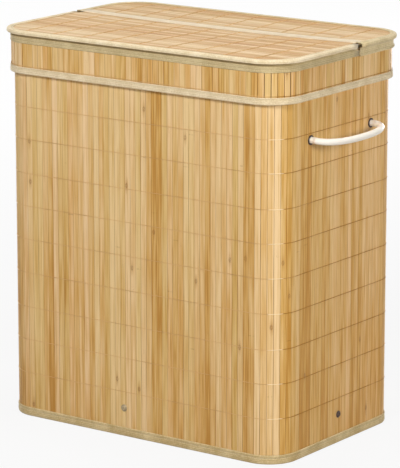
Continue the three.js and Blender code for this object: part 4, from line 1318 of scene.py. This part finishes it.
for side, way in (("right", 1), ("left", -1)):
    pivot = pivots[side + "_handle"]
    eyelet_low, eyelet_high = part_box(f"eyelet_{side}_front")
    half_span = abs((eyelet_low.y + eyelet_high.y) / 2)
    path = []
    for step in range(TUBE_STEPS + 1):
        along = -math.cos(math.pi * step / TUBE_STEPS)
        reach = HANDLE_REACH * superellipse(along)
        drop = -reach * math.sin(HANDLE_DROOP)
        path.append(pivot + Vector((way * reach * math.cos(HANDLE_DROOP), along * half_span, drop)))
    arch = tube(f"handle_tube_{side}", path, TUBE_RADIUS, TUBE_SIDES)
    for end, place in (("front", path[0]), ("rear", path[-1])):
        ball = lathe(f"tube_end_{side}_{end}", ball_line, place, (way, 0, 0), TUBE_SIDES)
        finish_with(ball, white_tube)
        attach(ball, side + "_handle")
    finish_with(arch, white_tube)
    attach(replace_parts(arch, "handle_" + side), side + "_handle")

    for end, end_way in (("front", -1), ("rear", 1)):
        foot = Vector((way * HALF_WIDTH, end_way * half_span, pivot.z))
        eyelet = lathe(f"eyelet_rolled_{side}_{end}", metres(EYELET_LINE), foot, (way, 0, 0))
        soften(finish_with(eyelet, dark_bronze), 60)
        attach(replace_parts(eyelet, f"eyelet_{side}_{end}"), "basket")
        neck = lathe(f"tube_neck_{side}_{end}", metres(NECK_LINE), foot, (way, 0, 0), TUBE_SIDES)
        soften(finish_with(neck, white_tube), 30)
        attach(neck, "basket")
        coil = []
        for step in range(KNOT_STEPS + 1):
            share = step / KNOT_STEPS
            angle = 2 * math.pi * KNOT_TURNS * share
            swell = KNOT_RADIUS * math.sin(math.pi * (0.12 + 0.76 * share)) ** 0.5
            inwards = way * (-KNOT_START - KNOT_LENGTH * share) * MM
            coil.append(foot + Vector((inwards, swell * math.cos(angle), swell * math.sin(angle))))
        knot = tube(f"stopper_knot_{side}_{end}", coil, KNOT_CORD_RADIUS, KNOT_CORD_SIDES)
        finish_with(knot, cotton_cord)
        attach(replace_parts(knot, f"handle_knot_{side}_{end}"), "basket")
        core = lathe(f"knot_core_{side}_{end}", metres(KNOT_CORE_LINE), foot, (way, 0, 0), 12)
        finish_with(core, cotton_cord)
        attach(core, "basket")


# The lid's skirt: a second, shorter mat of the same slats that slips over the rim, with one row of stitches
# just above its lower tape. A steel hoop inside it lies on the rim and carries the lid.
SKIRT_SEED = 8
SKIRT_ROW = 561.8
SKIRT_TOP_HEM = 3.4 * MM
# Painted shade on the skirt, as on the walls but slighter
SKIRT_FOOT_SHADE, SKIRT_END_SHADE = -0.02, 0.04
SKIRT_LOWER_LINE = [
    (1.5, 7.7), (1.5, 3), (1.7, 1.0), (2.6, 0.35), (4.2, 0.3), (5.9, 0.45), (6.65, 1.1), (6.8, 2.6),
    (6.6, 5.6), (6.25, 7.3), (6.05, 8.2), (6.4, 9.1), (6.4, 10.0), (5.8, 10.8),
]
SKIRT_LOWER_STITCHES = (6.5, 8.2)
SKIRT_TOP_LINE = [
    (5.5, -13.1), (6.05, -12.6), (6.1, -11.7), (5.75, -10.9), (5.6, -9.8), (5.85, -7.5), (6.1, -5.4),
    (5.85, -4.2), (5.0, -3.1), (3.9, -1.6), (2.8, -0.5), (2.0, -0.6), (1.6, -1.6), (1.5, -3.8),
]
SKIRT_TOP_STITCHES = (6.05, -10.0)
skirt_low, skirt_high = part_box("skirt_slats")
skirt_offset = skirt_high.x - HALF_WIDTH
skirt_slats_top = skirt_high.z - SKIRT_TOP_HEM
skirt_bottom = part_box("skirt_lower_tape")[0].z
skirt_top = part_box("skirt_top_tape")[1].z

skirt_bamboo = split_bamboo(
    "split_bamboo_skirt_lacquered", 2, STRAW_TONES, PEACH_TONES, SKIRT_FOOT_SHADE, SKIRT_END_SHADE
)
skirt_mat, skirt_count = slat_ring(
    "skirt_mat", skirt_offset, skirt_low.z, skirt_slats_top, SKIRT_SEED, SKIRT_FANNING, skirt_bamboo
)
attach(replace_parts(skirt_mat, "skirt_slats"), "lid")
skirt_stitches = stitch_ring("skirt_stitches", skirt_offset, [SKIRT_ROW * MM], skirt_count, SKIRT_SEED)
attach(skirt_stitches, "lid")
round_wire("lid_hoop", "lid")
tape_ring("skirt_lower_tape", SKIRT_LOWER_LINE, skirt_bottom, lid_tape_cotton, "lid")
sewn("skirt_lower_stitches", SKIRT_LOWER_STITCHES, "lid", from_height=skirt_bottom)


# The skirt's top tape stops at both ends of the fold, where the rear panel's own tape takes its place. Its
# ends meet below the notch there, drawn down by their stitches.
EDGE_NOTCH = 3.4 * MM
FLAP_NOTCH = 6.2 * MM
TAPE_MEETING = 2.6 * MM
TAPE_DIP = 8 * MM
TAPE_DIP_REACH = 10 * MM
FOLD_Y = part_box("rear_slats")[0].y


def side_stations(corners, end_y):
    """Stations from a place on one end wall, round two corners, to the same place on the other"""
    first, last = (math.copysign(1, corner[end][1].x) for corner, end in ((corners[0], 0), (corners[-1], -1)))
    path = [(Vector((first * HALF_WIDTH, end_y)), Vector((first, 0)))]
    path += sum(corners, [])
    path.append((Vector((last * HALF_WIDTH, end_y)), Vector((last, 0))))
    return filled_in(path, False)


REAR_CORNERS, FRONT_CORNERS = BASKET_CORNERS[:2], BASKET_CORNERS[2:]
front_end = FOLD_Y - FLAP_NOTCH
front_way = side_stations(FRONT_CORNERS, front_end)
rear_way = side_stations(REAR_CORNERS, FOLD_Y + EDGE_NOTCH)
for name, corners in (("front", FRONT_CORNERS), ("rear", REAR_CORNERS)):
    way = side_stations(corners, FOLD_Y + TAPE_MEETING)
    piece = tape_ring("skirt_top_tape", SKIRT_TOP_LINE, skirt_top, shaded_skirt_tape_cotton, "lid", way, False, name)
    for vertex in piece.data.vertices:
        near = max(1 - abs(vertex.co.y - FOLD_Y) / TAPE_DIP_REACH, 0)
        high = min(max((vertex.co.z - skirt_slats_top) / (skirt_top - skirt_slats_top), 0), 1)
        vertex.co.z -= TAPE_DIP * near * high
sewn("skirt_top_stitches", SKIRT_TOP_STITCHES, "lid", front_way, False, skirt_top)


# The lid's two panels: slats that run the long way on cloth-covered boards, cut to the lid's rounded
# outline. The rear panel is fixed and the front one is the flap. Both sag a little where they meet.
PANEL_OFFSET = 9.5 * MM
PANEL_EDGE = 0.4 * MM
PANEL_HALF_WIDTH = HALF_WIDTH + PANEL_OFFSET
PANEL_HALF_DEPTH = HALF_DEPTH + PANEL_OFFSET
PANEL_RADIUS = CORNER_RADIUS + PANEL_OFFSET
LID_SAG = 3 * MM
LID_SLAT_STEPS = 24
LID_SLAT_SEAM = 0.5 * MM
FLAP_SEED, REAR_SEED = 41, 43
FLAP_GAP = 1.1 * MM
FOLD_TRIM = 14 * MM
FOLD_TRIM_REACH = 14 * MM
flap_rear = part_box("flap_slats")[1].y


def lid_sag(x, y):
    """How far the lid's top hangs at a place: most at the middle of the fold, none at the rim"""
    across = max(1 - (x / HALF_WIDTH) ** 2, 0)
    edge = PANEL_HALF_DEPTH if y > FOLD_Y else -PANEL_HALF_DEPTH
    towards_fold = min(max((edge - y) / (edge - FOLD_Y), 0), 1)
    return LID_SAG * across * math.sin(towards_fold * math.pi / 2) ** 2


def sagged(obj):
    for vertex in obj.data.vertices:
        vertex.co.z -= lid_sag(vertex.co.x, vertex.co.y)
    return obj


def trimmed_at_fold(obj):
    """Draws a panel's two corners in beside the fold, where the edge tapes leave a notch"""
    for vertex in obj.data.vertices:
        near = max(1 - abs(vertex.co.y - FOLD_Y) / FOLD_TRIM_REACH, 0)
        limit = PANEL_HALF_WIDTH - FOLD_TRIM * min(near * 2, 1)
        vertex.co.x = max(min(vertex.co.x, limit), -limit)
    return obj


row_inputs = dict(Piece="Object", Count="Int", First="Float", Pitch="Float", Height="Float")
row_inputs |= dict(Narrowing="Float", Seed="Int", Finish="Material")
row_inputs |= {"Half Width": "Float", "Half Depth": "Float", "Radius": "Float"}
row_tree, given = new_tree("slats_across_a_rounded_panel", row_inputs)
start = add(row_tree, "ShaderNodeCombineXYZ", 0.0, given["First"], given["Height"])[0]
inputs = {"Count": given["Count"], "Start Location": start}
inputs["Offset"] = add(row_tree, "ShaderNodeCombineXYZ", 0.0, given["Pitch"], 0.0)[0]
line = add(row_tree, "GeometryNodeMeshLine", inputs=inputs, mode="OFFSET")[0]
scale = add(row_tree, "ShaderNodeCombineXYZ", 1.0, random_scale(row_tree, given), 1.0)[0]
placed = instances(row_tree, line, given, (0, 0, 0), scale)
real = add(row_tree, "GeometryNodeRealizeInstances", placed)[0]
parts = add(row_tree, "ShaderNodeSeparateXYZ", add(row_tree, "GeometryNodeInputPosition")[0])
half_width, half_depth, radius = (given[label] for label in ("Half Width", "Half Depth", "Radius"))
least = math_chain(row_tree, half_depth, ("MULTIPLY", -1.0))
inside = math_chain(row_tree, parts["Y"], ("MINIMUM", half_depth), ("MAXIMUM", least))
straight = math_chain(row_tree, half_depth, ("SUBTRACT", radius))
past = math_chain(row_tree, inside, ("ABSOLUTE",), ("SUBTRACT", straight), ("MAXIMUM", 0.0))
past_squared = math_chain(row_tree, past, ("MULTIPLY", past))
bulge_squared = math_chain(row_tree, radius, ("MULTIPLY", radius), ("SUBTRACT", past_squared))
bulge = math_chain(row_tree, bulge_squared, ("MAXIMUM", 0.0), ("SQRT",))
extent = math_chain(row_tree, half_width, ("SUBTRACT", radius), ("ADD", bulge))
reached = math_chain(row_tree, parts["X"], ("MULTIPLY", extent))
cut = add(row_tree, "ShaderNodeCombineXYZ", reached, inside, parts["Z"])[0]
shaped = add(row_tree, "GeometryNodeSetPosition", inputs={"Geometry": real, "Position": cut})[0]
close_tree(row_tree, shaped, given)

# The lid's bamboo is the same, with its fibres the long way, but this copy's tones are drawn paler and
# pinker: painted light on the top, seen from above.
LID_LIT_STRAW_TONES = [(0.0, "E8CD9F"), (0.35, "D8B47D"), (0.7, "C59857"), (1.0, "A97436")]
LID_LIT_PEACH_TONES = [(0.0, "ECCFA5"), (0.35, "DCB684"), (0.7, "CE9B5F"), (1.0, "B67D3E")]
lit_lengthwise_bamboo = split_bamboo(
    "split_bamboo_lengthwise_lit_lacquered", 0, LID_LIT_STRAW_TONES, LID_LIT_PEACH_TONES, 0, 0
)


def slats_in(node):
    """How many slats cover a node from front to rear"""
    low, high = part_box(node)
    return math.ceil((high.y - low.y) / SLAT_PITCH)


def panel_slats(name, node, first, way, seed, body):
    ends = [-1 + 2 * step / LID_SLAT_STEPS for step in range(LID_SLAT_STEPS + 1)]
    slat = slat_mesh(SLAT_PITCH - LID_SLAT_SEAM, ends, lambda x, across, deep: (x, across, -deep), 1)
    values = dict(Piece=slat, Count=slats_in(node), Narrowing=SLAT_NARROWING, Seed=seed)
    values |= dict(First=first + way * SLAT_PITCH / 2, Pitch=way * SLAT_PITCH, Height=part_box(node)[1].z)
    values |= {"Half Width": PANEL_HALF_WIDTH - PANEL_EDGE, "Half Depth": PANEL_HALF_DEPTH - PANEL_EDGE}
    values |= dict(Radius=PANEL_RADIUS, Finish=lit_lengthwise_bamboo)
    mat = run_tree(name, mesh_object("panel_start", [(0, 0, 0)], []), row_tree, values)
    sagged(trimmed_at_fold(mat))
    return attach(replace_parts(mat, node), body)


panel_slats("flap_mat", "flap_slats", flap_rear - FLAP_GAP, -1, FLAP_SEED, "flap")
panel_slats("rear_mat", "rear_slats", FOLD_Y, 1, REAR_SEED, "lid")


# The lid's stitching: brown nylon rows from front to back, over and under its slats. The rows stop short of
# the panels' rounded edges.
LID_ROW_PITCH = 53.4 * MM
LID_ROW_COUNT = 9
LID_ROW_SIDE_ROOM = 6 * MM
LID_ROW_END_ROOM = 3 * MM
LID_THREAD_TONE = 0.4


def panel_extent(y, inset=0.0):
    """Half the panel's width at a distance from its middle"""
    half_depth, radius = PANEL_HALF_DEPTH - inset, PANEL_RADIUS - inset
    past = max(min(abs(y), half_depth) - (half_depth - radius), 0)
    return PANEL_HALF_WIDTH - inset - radius + math.sqrt(max(radius**2 - past**2, 0))


def lid_threads(name, node, first, way, body):
    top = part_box(node)[1].z
    threads = []
    for row in range(LID_ROW_COUNT):
        x = (row - (LID_ROW_COUNT - 1) / 2) * LID_ROW_PITCH
        path = []
        for slat in range(slats_in(node)):
            middle = first + way * SLAT_PITCH * (slat + 0.5)
            within = panel_extent(middle, LID_ROW_SIDE_ROOM) >= abs(x)
            if within and abs(middle) <= PANEL_HALF_DEPTH - LID_ROW_END_ROOM:
                stitch = stitch_path((SLAT_PITCH - LID_SLAT_SEAM) / 2, 0)
                path += [Vector((x, middle + way * spot.x, top - spot.y)) for spot in stitch]
        if len(path) > 2:
            threads.append(strand(path, THREAD_RADIUS, across=Vector((1, 0, 0))))
    rows = sagged(strands_object(name, threads))
    tone = rows.data.attributes.new("tone", "FLOAT", "POINT")
    tone.data.foreach_set("value", [LID_THREAD_TONE] * len(rows.data.vertices))
    finish_with(rows, nylon_thread)
    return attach(rows, body)


lid_threads("flap_threads", "flap_slats", flap_rear - FLAP_GAP, -1, "flap")
lid_threads("rear_threads", "rear_slats", FOLD_Y, 1, "lid")


# The boards under the slats: thin fibreboard covered with the lining cotton, which shows under the open
# flap. They are cut to the panels' outline, half a millimetre inside it.
BOARD_ROWS = 22
BOARD_COLUMNS = 24
BOARD_INSET = 0.5 * MM


def lid_board(name, node, from_y, to_y, body):
    low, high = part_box(node)
    corners = []
    for z in (low.z, high.z):
        for row in range(BOARD_ROWS + 1):
            y = from_y + (to_y - from_y) * math.sin(row / BOARD_ROWS * math.pi / 2)
            reach = panel_extent(y, BOARD_INSET)
            for column in range(BOARD_COLUMNS + 1):
                x = reach * (2 * column / BOARD_COLUMNS - 1)
                corners.append((x, y, z - lid_sag(x, y)))
    wide, sheet = BOARD_COLUMNS + 1, (BOARD_COLUMNS + 1) * (BOARD_ROWS + 1)
    faces = []
    for layer in (0, sheet):
        for row in range(BOARD_ROWS):
            for column in range(BOARD_COLUMNS):
                a = layer + row * wide + column
                faces.append((a, a + 1, a + wide + 1, a + wide))
    round_edge = [
        *range(wide),
        *(row * wide + wide - 1 for row in range(1, BOARD_ROWS + 1)),
        *(BOARD_ROWS * wide + column for column in range(wide - 2, -1, -1)),
        *(row * wide for row in range(BOARD_ROWS - 1, 0, -1)),
    ]
    for a, b in zip(round_edge, round_edge[1:] + round_edge[:1]):
        faces.append((a, b, b + sheet, a + sheet))
    board = trimmed_at_fold(face_out(mesh_object(name, corners, faces)))
    soften(finish_with(board, lining_cotton))
    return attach(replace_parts(board, node), body)


board_edge = PANEL_HALF_DEPTH - BOARD_INSET
lid_board("flap_board_covered", "flap_board", flap_rear, -board_edge, "flap")
lid_board("rear_board_covered", "rear_board", FOLD_Y, board_edge, "lid")


# The tapes round the panels' edges. The flap's is narrow and rolls over its edge; the rear panel's is wide,
# and goes on down over the skirt, which holds the panel to it.
FLAP_EDGE_LINE = [
    (1.8, 610.8), (6, 610.8), (10.3, 610.85), (11.45, 611.3), (11.75, 612.8), (11.65, 614.6), (10.9, 615.9),
    (9.4, 616.6), (7.4, 616.6), (5.2, 616.1), (4.3, 616.15), (3.4, 616.55), (2.4, 616.55), (1.6, 616.1),
]
REAR_EDGE_LINE = [
    (6.7, 596.4), (8.0, 596.3), (8.8, 597.2), (8.5, 598.5), (7.5, 599.7), (7.0, 601.5), (7.0, 605.5),
    (7.7, 607.9), (9.6, 609.4), (11.3, 610.7), (11.75, 612.7), (11.6, 614.6), (10.9, 615.9), (8.8, 616.65),
    (7.4, 616.6), (5.2, 616.1), (4.3, 616.15), (3.4, 616.55), (2.4, 616.55), (1.6, 616.1),
]
FLAP_EDGE_STITCHES = [(4.7, 616.5), (4.7, 610.45)]
REAR_EDGE_STITCHES = [(4.7, 616.5), (7.6, 599.9)]
END_SLANT = 5 * MM
SLANT_REACH = 12 * MM
flap_bottom, flap_top = (corner.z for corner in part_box("flap_edge_tape"))

for node, line, stations, rows, cotton, body in (
    ("flap_edge_tape", FLAP_EDGE_LINE, front_way, FLAP_EDGE_STITCHES, lit_flap_tape_cotton, "flap"),
    ("rear_edge_tape", REAR_EDGE_LINE, rear_way, REAR_EDGE_STITCHES, shaded_rear_tape_cotton, "lid"),
):
    edge = swept(node + "_cloth", cloth_section(line), stations, False, TAPE_WAVER)
    if body == "flap":
        for vertex in edge.data.vertices:
            near = max(1 - (front_end - vertex.co.y) / SLANT_REACH, 0)
            vertex.co.y -= END_SLANT * near * (flap_top - vertex.co.z) / (flap_top - flap_bottom)
    sagged(finish_with(edge, cotton))
    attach(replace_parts(edge, node), body)
    for i, row in enumerate(rows):
        sagged(sewn(f"{node}_stitches_{i}", row, body, stations, False))


# At each end of the fold, cream threads tack the rear tape to the corner of the fold's own tape. Each is
# laid along given points: out from the basket's side, back from the fold, and up.
TACKS = [
    ((0.6, 0.8, 617.2), (4.5, -0.6, 617.5), (9.0, 2.0, 617.2), (11.4, 3.4, 615.4)),
    ((0.8, 3.0, 617.3), (5.0, 2.6, 617.7), (9.6, 3.2, 617.2), (11.6, 4.2, 614.9)),
    ((1.0, 5.4, 617.3), (5.4, 4.2, 617.6), (9.6, 1.6, 617.0), (11.2, 2.4, 613.6)),
]
for side, way in (("right", 1), ("left", -1)):
    threads = []
    for line in TACKS:
        path = [Vector((way * (HALF_WIDTH + out * MM), FOLD_Y + y * MM, z * MM)) for out, y, z in line]
        threads.append(strand(path, THREAD_RADIUS))
    tack = finish_with(strands_object("fold_tack_" + side, threads), sewing_thread)
    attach(tack, "lid")


# The tape over the fold: flat, sewn to the rear panel along both its edges, with its front edge on the fold.
# A strip of the same cotton under it, across the fold, joins the flap on.
FOLD_TAPE_LINE = [
    (0.9, 615.9), (0.35, 616.35), (0.7, 616.9), (2.5, 617.1), (8, 617.05), (15, 616.95), (21, 616.6),
    (23.7, 616.3),
]
FOLD_STITCHES = [(2.6, 617.42), (21.4, 616.95)]
FOLD_TAPE_WAVER = 0.1 * MM
FOLD_STEPS = 40
JOINING_LINE = [(-7, 613.55), (-3, 613.6), (0, 613.6), (3, 613.6), (7, 613.55)]
JOINING_CLOTH = 0.25 * MM
fold_low, fold_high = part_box("hinge_tape")
fold_width = fold_high.x - fold_low.x
fold_steps = [fold_low.x + fold_width * step / FOLD_STEPS for step in range(FOLD_STEPS + 1)]
fold_stations = [(Vector((x, FOLD_Y)), Vector((0, 1))) for x in fold_steps]
fold_tape = swept("fold_tape_cloth", cloth_section(FOLD_TAPE_LINE), fold_stations, False, FOLD_TAPE_WAVER)
sagged(finish_with(fold_tape, fold_tape_cotton))
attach(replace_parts(fold_tape, "hinge_tape"), "lid")
for i, row in enumerate(FOLD_STITCHES):
    sagged(sewn(f"fold_tape_stitches_{i}", row, "lid", fold_stations, False))

joining = swept("fold_joining_cloth", cloth_section(JOINING_LINE, JOINING_CLOTH), fold_stations, False)
sagged(finish_with(joining, lid_tape_cotton))
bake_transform(joining)
